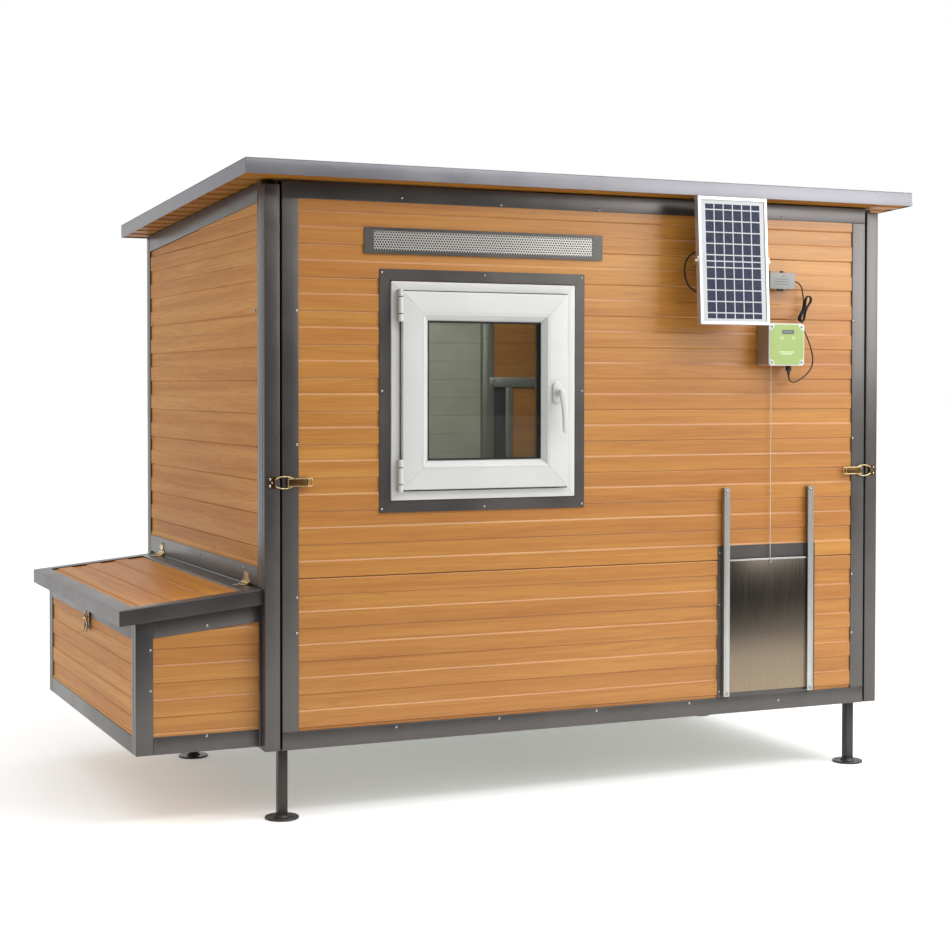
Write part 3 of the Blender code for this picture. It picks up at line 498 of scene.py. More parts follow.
def piece(name, body, shape, materials, nodes=(), crease=34.0):
    """One named mesh that rides on a CAD body and may stand for CAD nodes.
    """
    mesh = bpy.data.meshes.new(name)
    mesh.from_pydata([ORIGIN + point for point in shape.points], [], shape.faces)
    mesh.polygons.foreach_set("material_index", shape.numbers)
    for material in materials:
        mesh.materials.append(MATERIALS[material])
    mesh.shade_smooth()
    mesh.set_sharp_from_angle(angle=math.radians(crease))
    obj = bpy.data.objects.new(name, mesh)
    bpy.context.collection.objects.link(obj)
    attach(obj, body)
    if nodes:
        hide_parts(*nodes)
    return obj


def soften(bm, bevel, steps=2):
    if bevel:
        bmesh.ops.bevel(bm, geom=list(bm.edges), offset=bevel, segments=steps, profile=0.5,
                        affect="EDGES", clamp_overlap=True)
    return bm


def box(low, high, bevel=0.001, steps=2, warp=None):
    """Block with rounded edges; warp may move its corners first."""
    bm = bmesh.new()
    bmesh.ops.create_cube(bm, size=1.0)
    for vert in bm.verts:
        corner = [high[axis] if vert.co[axis] > 0 else low[axis] for axis in range(3)]
        vert.co = warp(*corner) if warp else corner
    return soften(bm, bevel, steps)


def prism(outline, low, high, bevel=0.0005, steps=1):
    """Outline in local XY, drawn out along local Z."""
    bm = bmesh.new()
    face = bm.faces.new([bm.verts.new((x, y, low)) for x, y in outline])
    grown = bmesh.ops.extrude_face_region(bm, geom=[face])
    moved = [item for item in grown["geom"] if isinstance(item, bmesh.types.BMVert)]
    bmesh.ops.translate(bm, verts=moved, vec=(0, 0, high - low))
    if bevel:
        rims = [edge for edge in bm.edges if abs(edge.verts[0].co.z - edge.verts[1].co.z) < 1e-9]
        bmesh.ops.bevel(bm, geom=rims, offset=bevel, segments=steps, profile=0.5,
                        affect="EDGES", clamp_overlap=True)
    return bm


def turned(outline, sides=24):
    """Solid of revolution about local Z from (radius, height) points, top to bottom or back."""
    bm = bmesh.new()
    rings = []
    for radius, height in outline:
        if radius < 1e-7:
            rings.append([bm.verts.new((0, 0, height))])
            continue
        ring = []
        for step in range(sides):
            angle = 2 * math.pi * step / sides
            ring.append(bm.verts.new((radius * math.cos(angle), radius * math.sin(angle), height)))
        rings.append(ring)
    for first, second in zip(rings, rings[1:]):
        for step in range(sides):
            after = (step + 1) % sides
            corners = [first[step % len(first)], first[after % len(first)],
                       second[after % len(second)], second[step % len(second)]]
            face = list(dict.fromkeys(corners))
            if len(face) > 2:
                bm.faces.new(face)
    for ring in (rings[0], rings[-1]):
        if len(ring) > 1:
            bm.faces.new(ring)
    return bm


def skin(bm, rings):
    """Walls between equal rings of points, and a face on the first and the last one."""
    count = len(rings[0])
    for first, second in zip(rings, rings[1:]):
        for step in range(count):
            after = (step + 1) % count
            bm.faces.new((first[step], first[after], second[after], second[step]))
    bm.faces.new(rings[0])
    bm.faces.new(rings[-1])
    return bm


def loft(sections, power=2.6, sides=20):
    """Closed skin through flat sections (centre, half width, half depth) stacked along Z."""
    bm = bmesh.new()
    rings = []
    for centre, half_width, half_depth in sections:
        ring = []
        for step in range(sides):
            angle = 2 * math.pi * step / sides
            c, s = math.cos(angle), math.sin(angle)
            x = half_width * math.copysign(abs(c) ** (2 / power), c)
            y = half_depth * math.copysign(abs(s) ** (2 / power), s)
            ring.append(bm.verts.new(Vector(centre) + Vector((x, y, 0))))
        rings.append(ring)
    return skin(bm, rings)


def tube(route, radius, sides=12):
    """Round bar along a route."""
    route = [Vector(point) for point in route]
    bm = bmesh.new()
    side = None
    rings = []
    for number, point in enumerate(route):
        ahead = route[min(number + 1, len(route) - 1)] - route[max(number - 1, 0)]
        ahead.normalize()
        if side is None:
            side = ahead.orthogonal().normalized()
        side = (side - ahead * side.dot(ahead)).normalized()
        other = ahead.cross(side)
        ring = []
        for step in range(sides):
            angle = 2 * math.pi * step / sides
            offset = side * math.cos(angle) + other * math.sin(angle)
            ring.append(bm.verts.new(point + offset * radius))
        rings.append(ring)
    return skin(bm, rings)


def rounded_outline(left, right, low, high, radius, steps=5):
    """Rectangle with round corners, as points in a plane."""
    corners = ((right - radius, low + radius, -90), (right - radius, high - radius, 0),
               (left + radius, high - radius, 90), (left + radius, low + radius, 180))
    outline = []
    for x, y, start in corners:
        for step in range(steps + 1):
            angle = math.radians(start + 90 * step / steps)
            outline.append((x + radius * math.cos(angle), y + radius * math.sin(angle)))
    return outline


def arc(centre, radius, start, end, steps=4):
    """Points of an arc in a section, angles in degrees."""
    return [(centre[0] + radius * math.cos(math.radians(start + (end - start) * k / steps)),
             centre[1] + radius * math.sin(math.radians(start + (end - start) * k / steps)))
            for k in range(steps + 1)]


def facing(point, side):
    """Placing of a part drawn flat: local X runs along the face, Y up it and Z out of it."""
    along, out = {"front": ((1, 0, 0), (0, -1, 0)), "left": ((0, -1, 0), (-1, 0, 0)),
                  "right": ((0, 1, 0), (1, 0, 0)), "rear": ((-1, 0, 0), (0, 1, 0)),
                  "top": ((1, 0, 0), (0, 0, 1))}[side]
    x, z = Vector(along), Vector(out)
    y = z.cross(x)
    turn = Matrix((x, y, z)).transposed().to_4x4()
    return Matrix.Translation(point) @ turn


def panel_place(along, into, origin=(0, 0, 0)):
    """Placing of a wall drawn as (along, depth behind its face, up)."""
    x, y = Vector(along), Vector(into)
    turn = Matrix((x, y, x.cross(y))).transposed().to_4x4()
    return Matrix.Translation(origin) @ turn


FRONT = panel_place((1, 0, 0), (0, 1, 0))


# ---------------------------------------------------------------- siding

def slope(start, start_depth, end, end_depth, steps=4):
    """Soft step between two depths of a ribbed skin."""
    points = []
    for step in range(steps + 1):
        share = step / steps
        eased = share * share * (3 - 2 * share)
        points.append((start + (end - start) * share, start_depth + (end_depth - start_depth) * eased))
    return points


def rib_levels(bands, joints=()):
    """(height, depth) points up a ribbed skin; a joint is a groove under a raised band."""
    levels = []
    half = RIB_EDGE / 2
    foot = RIB_FOOT / 2
    for bottom, top in bands:
        if any(abs(bottom - joint) < 0.002 for joint in joints):
            levels += [(bottom + 0.0004, 0.0055), (bottom + 0.0009, 0.0), (bottom + 0.0020, 0.0)]
        else:
            levels += [(bottom - foot - RIB_FLAT - 0.0016, RIB_STEP), (bottom - foot - 0.0016, RIB_STEP),
                       (bottom - foot - 0.0002, RIB_STEP + RIB_CREASE)]
            levels += slope(bottom - foot, RIB_STEP, bottom + foot, 0.0)
            levels += [(bottom + foot + RIB_FLAT, 0.0)]
        if any(abs(top - joint) < 0.002 for joint in joints):
            levels += [(top - 0.0052, 0.0), (top - 0.0040, 0.0), (top - 0.0022, 0.0007),
                       (top - 0.0012, 0.0024), (top - 0.0010, 0.0055)]
        else:
            levels += [(top - half - RIB_FLAT, 0.0)]
            levels += slope(top - half, 0.0, top + half, RIB_STEP)
            levels += [(top + half + RIB_FLAT, RIB_STEP)]
    return sorted(levels)


def depth_at(levels, height):
    """Depth of the skin at a height, from the points of rib_levels."""
    if height <= levels[0][0]:
        return levels[0][1]
    for (low, low_depth), (high, high_depth) in zip(levels, levels[1:]):
        if low <= height <= high:
            share = (height - low) / max(high - low, 1e-9)
            return low_depth + (high_depth - low_depth) * share
    return levels[-1][1]


def slab(left, right, low, high, levels, thick, holes=()):
    """Closed ribbed panel (along, depth, up); a hole is left, right, low, high."""
    cuts = {left, right} | {edge for hole in holes for edge in hole[:2]}
    columns = sorted(cut for cut in cuts if left <= cut <= right)
    heights = {low, high} | {edge for hole in holes for edge in hole[2:]}
    heights |= {height for height, _ in levels if low + 1e-5 < height < high - 1e-5}
    rows = sorted(height for height in heights if low <= height <= high)

    def kept(i, j):
        if not (0 <= i < len(columns) - 1 and 0 <= j < len(rows) - 1):
            return False
        u = (columns[i] + columns[i + 1]) / 2
        v = (rows[j] + rows[j + 1]) / 2
        return not any(a < u < b and c < v < d for a, b, c, d in holes)

    bm = bmesh.new()
    corners = {}

    def corner(i, j, back):
        key = (i, j, back)
        if key not in corners:
            depth = thick if back else depth_at(levels, rows[j])
            corners[key] = bm.verts.new((columns[i], depth, rows[j]))
        return corners[key]

    for i in range(len(columns) - 1):
        for j in range(len(rows) - 1):
            if not kept(i, j):
                continue
            ring = ((i, j), (i + 1, j), (i + 1, j + 1), (i, j + 1))
            bm.faces.new([corner(a, b, False) for a, b in ring])
            bm.faces.new([corner(a, b, True) for a, b in ring[::-1]])
            beside = ((i, j - 1), (i + 1, j), (i, j + 1), (i - 1, j))
            for number, near in enumerate(beside):
                if not kept(*near):
                    first, second = ring[number], ring[(number + 1) % 4]
                    bm.faces.new((corner(*second, False), corner(*first, False),
                                  corner(*first, True), corner(*second, True)))
    return bm


def trim_top(bm, point, normal):
    """Cuts off what lies beyond a plane and closes the cut."""
    cut = bmesh.ops.bisect_plane(bm, geom=list(bm.verts) + list(bm.edges) + list(bm.faces),
                                 plane_co=point, plane_no=normal, clear_outer=True, dist=1e-6)
    edges = [item for item in cut["geom_cut"] if isinstance(item, bmesh.types.BMEdge)]
    bmesh.ops.holes_fill(bm, edges=edges, sides=0)
    return bm


def bands_from(start, low, high):
    """Raised bands of a siding that cover the heights from low to high."""
    first = math.floor((low - start) / RIB_PITCH) - 1
    last = math.ceil((high - start) / RIB_PITCH) + 1
    return [(start + number * RIB_PITCH, start + number * RIB_PITCH + RIB_WIDTH)
            for number in range(first, last)]


def bands_between(start, limit):
    """Raised bands from a start up, as many as end below a limit."""
    count = int((limit - start - RIB_WIDTH) / RIB_PITCH) + 1
    return [(start + number * RIB_PITCH, start + number * RIB_PITCH + RIB_WIDTH)
            for number in range(count)]


def siding(name, body, frame_box, bands, place, material, holes=(), joints=(), thick=0.036,
           cut=None, nodes=()):
    """Ribbed wall panel: wood skin outside, plain painted skin inside."""
    left, right, low, high = frame_box
    outer = slab(left, right, low, high, rib_levels(bands, joints), thick - 0.002, holes)
    inner = slab(left, right, low, high, [(low, 0.0), (high, 0.0)], 0.0018, holes)
    bmesh.ops.translate(inner, verts=inner.verts, vec=(0, thick - 0.0019, 0))
    if cut:
        trim_top(outer, *cut)
        trim_top(inner, *cut)
    shape = Shape().take(outer, place).take(inner, place, 1)
    piece(name, body, shape, (material, "skin"), nodes, crease=50.0)


def bars(name, body, outer, widths, depth, place, nodes, rails_through=False):
    """Four square profiles round a panel: uprights run through, or rails do.

    outer is left, right, low, high; widths are those of the left, right, low and high bars.
    """
    left, right, low, high = outer
    wide_left, wide_right, wide_low, wide_high = widths
    g = GAP / 2
    if rails_through:
        spans = {"left": (left, left + wide_left, low + wide_low + g, high - wide_high - g),
                 "right": (right - wide_right, right, low + wide_low + g, high - wide_high - g),
                 "low": (left, right, low, low + wide_low),
                 "high": (left, right, high - wide_high, high)}
    else:
        spans = {"left": (left, left + wide_left, low, high),
                 "right": (right - wide_right, right, low, high),
                 "low": (left + wide_left + g, right - wide_right - g, low, low + wide_low),
                 "high": (left + wide_left + g, right - wide_right - g, high - wide_high, high)}
    for side, (a, b, c, d) in spans.items():
        bar = box((a, depth[0], c), (b, depth[1], d), PROFILE_EDGE, 3)
        piece(f"{name}_{side}", body, Shape().take(bar, place), ("coat",), nodes)


def mitred(name, body, rect, outline, place, material, nodes=(), cut=0.0003):
    """Four profiles with mitred corners; outline is the section as (inset, depth) points."""
    left, right, low, high = rect
    for side in ("low", "high", "left", "right"):
        bm = bmesh.new()
        rings = []
        for end in (0, 1):
            ring = []
            for inward, depth in outline:
                if side in ("low", "high"):
                    u = right - inward - cut if end else left + inward + cut
                    v = low + inward if side == "low" else high - inward
                else:
                    u = left + inward if side == "left" else right - inward
                    v = high - inward - cut if end else low + inward + cut
                ring.append(bm.verts.new((u, depth, v)))
            rings.append(ring)
        piece(f"{name}_{side}", body, Shape().take(skin(bm, rings), place), (material,), nodes)


def screw_parts(shape, point, side, radius=0.0040, turn=0.4):
    """Pan head with a cross recess, on a thin dark washer seat; the recess is drawn as dark bars, painted
    shade.
    """
    place = facing(point, side)
    seat_radius, seat = 1.22 * radius, 0.0003
    crown = 0.42 * radius
    shape.take(turned(((0, 0), (seat_radius, 0), (seat_radius, seat), (0, seat)), 20), place, 1)
    dome = [(radius * math.cos(math.radians(angle)), seat + crown * math.sin(math.radians(angle)))
            for angle in (0, 25, 45, 62, 76)]
    shape.take(turned([(0, seat)] + dome + [(0, seat + crown)], 20), place)
    spin = Matrix.Rotation(turn, 4, "Z")
    # The cross recess: two dark bars standing proud of the dome, painted shade.
    for flip in (0.0, math.pi / 2):
        arm = box((-0.55 * radius, -0.13 * radius, 0.30 * radius),
                  (0.55 * radius, 0.13 * radius, 0.0004 + crown), 0)
        shape.take(arm, place @ spin @ Matrix.Rotation(flip, 4, "Z"), 1)


def screws(name, body, points, side, radius=0.0040):
    """All the screws of one face as one piece."""
    shape = Shape()
    for number, point in enumerate(points):
        screw_parts(shape, point, side, radius, 0.4 + 0.9 * number)
    piece(name, body, shape, ("screw", "recess"))


# ---------------------------------------------------------------- front wall

def rect_of(node):
    """Left, right, low, high of a node of the front wall."""
    low, high = span(node)
    return (low.x, high.x, low.z, high.z)


def inset(rect, by):
    left, right, low, high = rect
    return (left + by, right - by, low + by, high - by)


def pop_hole():
    """Left, right, low, high of the pop door's opening inside its flange."""
    left, right, low, high = rect_of("pop_door_trim")
    return (left + 0.0363, right - 0.0360, low + 0.0267, high - 0.0530)


def make_front_wall():
    frame_low, frame_high = span("front_profile_frame")
    low, high = span("front_siding_panel")
    bars("front_frame", "front_wall", rect_of("front_profile_frame"),
         (PROFILE, PROFILE, SILL, frame_high.z - high.z - GAP),
         (frame_low.y, frame_high.y), FRONT, ("front_profile_frame",), rails_through=True)
    upper = [band for band in bands_from(0.6340, SHEET_JOINT, high.z) if band[0] > SHEET_JOINT]
    tops = [0.6335 - number * 0.0866 for number in range(5)]
    lower = [(top - RIB_WIDTH, top) for top in tops]
    holes = (inset(rect_of("window_frame"), -WINDOW_CLEAR), inset(rect_of("vent_grille"), 0.0085),
             pop_hole())
    siding("front_siding", "front_wall", (low.x, high.x, low.z, high.z), lower + upper,
           panel_place((1, 0, 0), (0, 1, 0), (0, low.y, 0)), "oak_x", holes, (SHEET_JOINT,),
           high.y - low.y, nodes=("front_siding_panel",))
    heads = [(0.333, 1.634), (0.623, 1.6275), (0.924, 1.6275), (1.528, 1.6275),
             (0.317, 0.2265), (0.620, 0.2265), (0.920, 0.2265), (1.220, 0.2265), (1.522, 0.2140)]
    heads += [(0.0395, z) for z in (1.330, 0.983, 0.585, 0.4925)]
    heads += [(1.7800, z) for z in (1.330, 0.982, 0.575, 0.400)]
    screws("front_frame_screws", "front_wall", [(x, frame_low.y, z) for x, z in heads], "front",
           FRAME_SCREW)


def make_posts():
    """Corner posts: a square tube with two beads, a cap on top and a seal on its inner side."""
    for side, outward in (("left", -1), ("right", 1)):
        node = f"corner_post_{side}"
        low, high = span(node)
        outer, inner = (low.x, high.x) if outward < 0 else (high.x, low.x)
        post = Shape().take(box(low, high, 0.0022, 3))
        piece(f"{node}_tube", "coop", post, ("coat",), (node,))
        beads = Shape()
        for start, end in ((0.006, 0.0135), (0.0195, 0.028)):
            beads.take(box((outer - 0.0005, low.y + start, low.z + 0.001),
                           (outer + 0.0005, low.y + end, high.z - 0.001), 0.0003))
        piece(f"{node}_beads", "coop", beads, ("coat",))
        cap = box((low.x + 0.004, low.y + 0.004, high.z - 0.0005),
                  (high.x - 0.004, high.y - 0.004, high.z + 0.0008), 0.0004)
        piece(f"{node}_cap", "coop", Shape().take(cap), ("black",))
        lip = sorted((inner - outward * 0.0006, inner - outward * 0.0048))
        seal = box((lip[0], low.y + 0.012, low.z), (lip[1], high.y, high.z), 0.0008)
        piece(f"{node}_seal", "coop", Shape().take(seal), ("seal",))


# ---------------------------------------------------------------- side and rear walls

def sheared(x, y, z):
    """Corners near a side wall's head follow the sloping roof."""
    if z < EAVES:
        return (x, y, z)
    return (x, y, z - ROOF_SLOPE * (y - span("left_wall_frame")[0].y))


def side_wall(side):
    """Side wall under the sloping roof; the left one has a rail above the nest box."""
    node = f"{side}_wall_frame"
    low, high = span(node)
    panel_low, panel_high = span(f"{side}_wall_panel")
    head = high.z
    head_low = head - 0.050
    post_front = panel_low.y - GAP
    post_rear = panel_high.y + GAP
    left = side == "left"
    bar_boxes = {
        "front": ((low.x, low.y, low.z), (high.x, post_front, head)),
        "rear": ((low.x, post_rear, low.z), (high.x, high.y, head)),
        "low": ((low.x, post_front + GAP, low.z), (high.x, post_rear - GAP, low.z + SILL)),
        "high": ((low.x, post_front + GAP, head_low), (high.x, post_rear - GAP, head)),
    }
    if left:
        bar_boxes["rail"] = ((low.x, post_front + GAP, 0.610), (high.x, post_rear - GAP, 0.661))
    for name, corners in bar_boxes.items():
        bar = box(*corners, PROFILE_EDGE, 3, sheared)
        piece(f"{side}_frame_{name}", "coop", Shape().take(bar), ("coat",), (node,))
    # The panel is drawn along -Y on the left wall and along +Y on the right one.
    turn = -1 if left else 1
    place = panel_place((0, turn, 0), (-turn, 0, 0), ((panel_low if left else panel_high).x, 0, 0))
    ends = sorted((turn * panel_low.y, turn * panel_high.y))
    cut = (Vector((turn * low.y, 0, head_low - 0.0008)), Vector((turn * ROOF_SLOPE, 0, 1)))
    siding(f"{side}_siding", "coop", (*ends, panel_low.z, panel_high.z),
           bands_from(0.9760, panel_low.z, panel_high.z), place, "oak_y",
           thick=panel_high.x - panel_low.x, cut=cut, nodes=(f"{side}_wall_panel",))
    spots = [(0.095, 1.332), (0.095, 0.973), (0.640, 1.601), (1.190, 1.33), (1.190, 0.97)]
    if left:
        spots += [(0.628, 0.647), (0.20, 0.647), (1.05, 0.647)]
    else:
        spots += [(0.095, 0.55), (1.190, 0.55), (0.640, 0.224)]
    edge = 0.0345
    spots = [(min(max(y, low.y + edge), high.y - edge), z) if z < EAVES else (y, z) for y, z in spots]
    out = low.x if left else high.x
    screws(f"{side}_frame_screws", "coop", [(out, y, z) for y, z in spots], side, FRAME_SCREW)


def make_rear_wall():
    low, high = span("rear_wall_frame")
    panel_low, panel_high = span("rear_wall_panel")
    along, into = (-1, 0, 0), (0, -1, 0)
    bars("rear_frame", "coop", (-high.x, -low.x, low.z, high.z), (PROFILE, PROFILE, SILL, PROFILE),
         (0.0, high.y - low.y), panel_place(along, into, (0, high.y, 0)), ("rear_wall_frame",))
    siding("rear_siding", "coop", (-panel_high.x, -panel_low.x, panel_low.z, panel_high.z),
           bands_from(0.6340, panel_low.z, panel_high.z),
           panel_place(along, into, (0, panel_high.y, 0)), "oak_x",
           thick=panel_high.y - panel_low.y, nodes=("rear_wall_panel",))
    edge = 0.038
    points = [(x, high.y, z) for x in (low.x + edge, high.x - edge) for z in (0.45, 0.95, 1.40)]
    points += [(x, high.y, z) for z in (0.226, high.z - edge) for x in (0.30, 0.90, 1.50)]
    screws("rear_frame_screws", "coop", points, "rear", FRAME_SCREW)


def make_roof():
    """Roof of three ribbed panels in a folded fascia, drawn flat and then laid on the slope."""
    low, high = span("roof_fascia")
    width = high.x - low.x
    length = ROOF_RUN / math.cos(ROOF_ANGLE)
    thick, lip, sheet = 0.040, 0.020, 0.003
    place = (Matrix.Translation((low.x, low.y, low.z + ROOF_SLOPE * ROOF_RUN))
             @ Matrix.Rotation(-ROOF_ANGLE, 4, "X"))
    # Each fascia is a folded angle: an upright face and a return on top of the panels.
    rails = {
        "front": ((0, 0, 0), (width, sheet, thick), (0, 0, thick - sheet), (width, lip, thick)),
        "rear": ((0, length - sheet, 0), (width, length, thick),
                 (0, length - lip, thick - sheet), (width, length, thick)),
        "left": ((0, sheet + GAP, 0), (sheet, length - sheet - GAP, thick),
                 (0, lip + GAP, thick - sheet), (lip, length - lip - GAP, thick)),
        "right": ((width - sheet, sheet + GAP, 0), (width, length - sheet - GAP, thick),
                  (width - lip, lip + GAP, thick - sheet), (width, length - lip - GAP, thick)),
    }
    for name, corners in rails.items():
        shape = Shape().take(box(*corners[:2], 0.0009, 3), place).take(box(*corners[2:], 0.0009, 3), place)
        piece(f"roof_fascia_{name}", "coop", shape, ("fascia",), ("roof_fascia",))
    # Panels lie across the roof, three in a row from front to back, with covered seams.
    count = 3
    step = (length - 2 * lip - 2 * GAP) / count
    flat = place @ Matrix.Translation((0, 0, thick - 0.001)) @ panel_place((1, 0, 0), (0, 0, -1))
    under = place @ Matrix.Translation((0, 0, 0.001)) @ panel_place((1, 0, 0), (0, 0, 1))
    for number in range(count):
        start = lip + GAP + number * step
        bands = bands_between(start + 0.0218, start + step - 0.006)
        levels = rib_levels(bands)
        top = slab(lip + GAP, width - lip - GAP, start, start + step - GAP, levels, 0.034)
        first = sheet + GAP if number == 0 else start
        last = length - sheet - GAP if number == count - 1 else start + step - GAP
        upturned = [(-height, depth) for height, depth in levels][::-1]
        # The soffit takes the oak copy painted darker: painted shade under the roof.
        soffit = slab(sheet + GAP, width - sheet - GAP, -last, -first, upturned, 0.0038)
        shape = Shape().take(top, flat).take(soffit, under, 1)
        piece(f"roof_panel_{number}", "coop", shape, ("oak_x", "oak_dim"), ("roof_panel",), crease=50.0)
    cover = Shape()
    for number in range(1, count):
        seam = lip + GAP + number * step
        cover.take(box((lip + 0.002, seam - 0.012, thick - 0.0015),
                       (width - lip - 0.002, seam + 0.012, thick - 0.0002), 0.0005), place)
    piece("roof_seam_strips", "coop", cover, ("coat",))


def make_base():
    """Floor panel and legs."""
    low, high = span("floor_panel")
    board = box((low.x + 0.001, low.y, low.z), (high.x - 0.001, high.y, high.z), 0.0015)
    piece("floor_board", "coop", Shape().take(board), ("skin",), ("floor_panel",))
    for end in ("front", "rear"):
        for side in ("left", "right"):
            make_leg(f"leg_{end}_{side}")


def make_leg(node):
    """Square tube welded to a round foot plate with four screw holes."""
    low, high = span(node)
    centre = (low + high) / 2
    half = 0.0125
    plate = 0.006
    place = Matrix.Translation((centre.x, centre.y, 0))
    leg = Shape().take(box((centre.x - half, centre.y - half, plate),
                           (centre.x + half, centre.y + half, high.z), 0.0022, 3))
    leg.take(turned(((0, 0), (0.0425, 0), (0.045, 0.0016), (0.045, 0.0044), (0.0436, plate),
                     (0, plate)), 48), place)
    leg.take(turned(((0.0135, 0.0058), (0.0225, 0.0060), (0.0205, 0.0090), (0.0162, 0.0120),
                     (0.0135, 0.0130)), 32), place)
    # The screw holes are thin dark discs on the plate: painted shade.
    for turn in range(4):
        angle = math.pi / 4 + turn * math.pi / 2
        spot = Matrix.Translation((0.032 * math.cos(angle), 0.032 * math.sin(angle), 0.0055))
        leg.take(turned(((0, 0), (0.0036, 0), (0.0036, 0.0007), (0, 0.0007)), 20), place @ spot, 1)
    piece(f"{node}_post", "coop", leg, ("leg", "recess"), (node,))


# ---------------------------------------------------------------- nest box

def lid_rise(x, y, z):
    """Corners near the nest box's rim follow the sloping lid."""
    return (x, y, z - LID_SLOPE * (span("nest_frame")[1].x - x)) if z > NEST_RIM else (x, y, z)


def make_nest():
    """Nest box: corner uprights, rails between them and a ribbed panel in each side."""
    low, high = span("nest_frame")
    wall = 0.020
    base, top = low.z, high.z
    inner = high.x - NEST_INNER
    near, far = low.x + PROFILE + GAP, inner - GAP
    # The outer uprights are L profiles of two leaves; the rails butt against them.
    parts = {
        "upright_front_outer": (((low.x, low.y, base), (low.x + PROFILE, low.y + wall, top)),
                                ((low.x, low.y + wall + GAP, base),
                                 (low.x + wall, low.y + PROFILE, top))),
        "upright_rear_outer": (((low.x, high.y - wall, base), (low.x + PROFILE, high.y, top)),
                               ((low.x, high.y - PROFILE, base),
                                (low.x + wall, high.y - wall - GAP, top))),
    }
    for end, y in (("front", low.y), ("rear", high.y - wall)):
        parts[f"{end}_inner"] = (((inner, y, base), (high.x, y + wall, top)),)
        parts[f"{end}_low"] = (((near, y, base), (far, y + wall, base + PROFILE)),)
        parts[f"{end}_high"] = (((near, y, top - PROFILE), (far, y + wall, top)),)
    for name, z in (("low", base), ("high", top - PROFILE)):
        parts[f"side_{name}"] = (((low.x, low.y + PROFILE + GAP, z),
                                  (low.x + wall, high.y - PROFILE - GAP, z + PROFILE)),)
    for name, boxes in parts.items():
        shape = Shape()
        for corners in boxes:
            shape.take(box(*corners, PROFILE_EDGE, 3, lid_rise))
        piece(f"nest_{name}", "coop", shape, ("coat",), ("nest_frame",))

    for end, turn in (("front", 1), ("rear", -1)):
        panel_low, panel_high = span(f"nest_{end}_panel")
        face = panel_low.y if turn > 0 else panel_high.y
        place = panel_place((turn, 0, 0), (0, turn, 0), (0, face, 0))
        ends = sorted((turn * panel_low.x, turn * panel_high.x))
        cut = (Vector((turn * panel_high.x, 0, panel_high.z)), Vector((-turn * LID_SLOPE, 0, 1)))
        siding(f"nest_{end}_siding", "coop", (*ends, panel_low.z, panel_high.z),
               bands_from(NEST_BAND_START, panel_low.z, panel_high.z), place, "oak_x",
               thick=panel_high.y - panel_low.y, cut=cut, nodes=(f"nest_{end}_panel",))
    panel_low, panel_high = span("nest_side_panel")
    siding("nest_side_siding", "coop", (-panel_high.y, -panel_low.y, panel_low.z, panel_high.z),
           bands_from(NEST_BAND_START, panel_low.z, panel_high.z),
           panel_place((0, -1, 0), (1, 0, 0), (panel_low.x, 0, 0)), "oak_y",
           thick=panel_high.x - panel_low.x, nodes=("nest_side_panel",))
    heads = ((-0.191, 0.5205), (-0.3387, 0.4653), (-0.3387, 0.361), (-0.1927, 0.2363))
    screws("nest_front_screws", "coop", [(x, low.y, z) for x, z in heads], "front", FRAME_SCREW)
    screws("nest_side_screws", "coop",
           [(low.x, y, z) for y in (low.y + 0.038, high.y - 0.038) for z in (0.36, 0.29)], "left",
           FRAME_SCREW)


def make_lid():
    """Lid with a broad flange all round, a ribbed panel and a seal under its sides."""
    low, high = span("lid_frame")
    place = Matrix.Translation((high.x, 0, high.z)) @ Matrix.Rotation(-LID_ANGLE, 4, "Y")
    length = (high.x - low.x) / math.cos(LID_ANGLE)
    thick = 0.039
    plumb = Matrix.Identity(4)      # keeps the lid's side faces upright
    plumb[0][2] = LID_SLOPE
    edge = 0.0014
    section = [(0.0, thick), *arc((edge, edge), edge, 180, 270, 3),
               *arc((PROFILE - edge, edge), edge, 270, 360, 3), (PROFILE, thick)]
    face = panel_place((0, -1, 0), (0, 0, -1))
    mitred("lid_frame", "nest_lid", (-high.y, -low.y, -length, 0.0), section, place @ plumb @ face,
           "coat", ("lid_frame",))
    left, right = -length + PROFILE + GAP, -PROFILE - GAP
    levels = rib_levels(bands_between(left + 0.020, right - 0.003))
    panel = slab(-high.y + PROFILE + GAP, -low.y - PROFILE - GAP, left, right, levels, thick - 0.004)
    flat = place @ Matrix.Translation((0, 0, -0.002)) @ face
    piece("lid_siding", "nest_lid", Shape().take(panel, flat), ("oak_y",), ("lid_panel",), crease=50.0)
    seal = Shape()
    wide = 0.003
    for y in (low.y + PROFILE, high.y - PROFILE - wide):
        seal.take(box((-length + PROFILE, y, -0.0018), (-PROFILE, y + wide, -0.0008), 0.0003), place)
    piece("lid_seal", "nest_lid", seal, ("seal",))


def make_lid_flashing():
    """Bright weather strip and its seal in the gap behind the lid, between the hinges."""
    wall = span("left_wall_frame")[0].x
    first, second = span("lid_hinge_front")[1].y + 0.004, span("lid_hinge_rear")[0].y - 0.004
    strip = box((wall - 0.0010, first, 0.585), (wall - 0.0002, second, 0.6100), 0.0003)
    piece("nest_lid_flashing", "coop", Shape().take(strip), ("zinc",))
    seal = box((wall - 0.0030, first, 0.585), (wall - 0.0012, second, 0.6050), 0.0005)
    piece("nest_lid_wall_seal", "coop", Shape().take(seal), ("seal",))


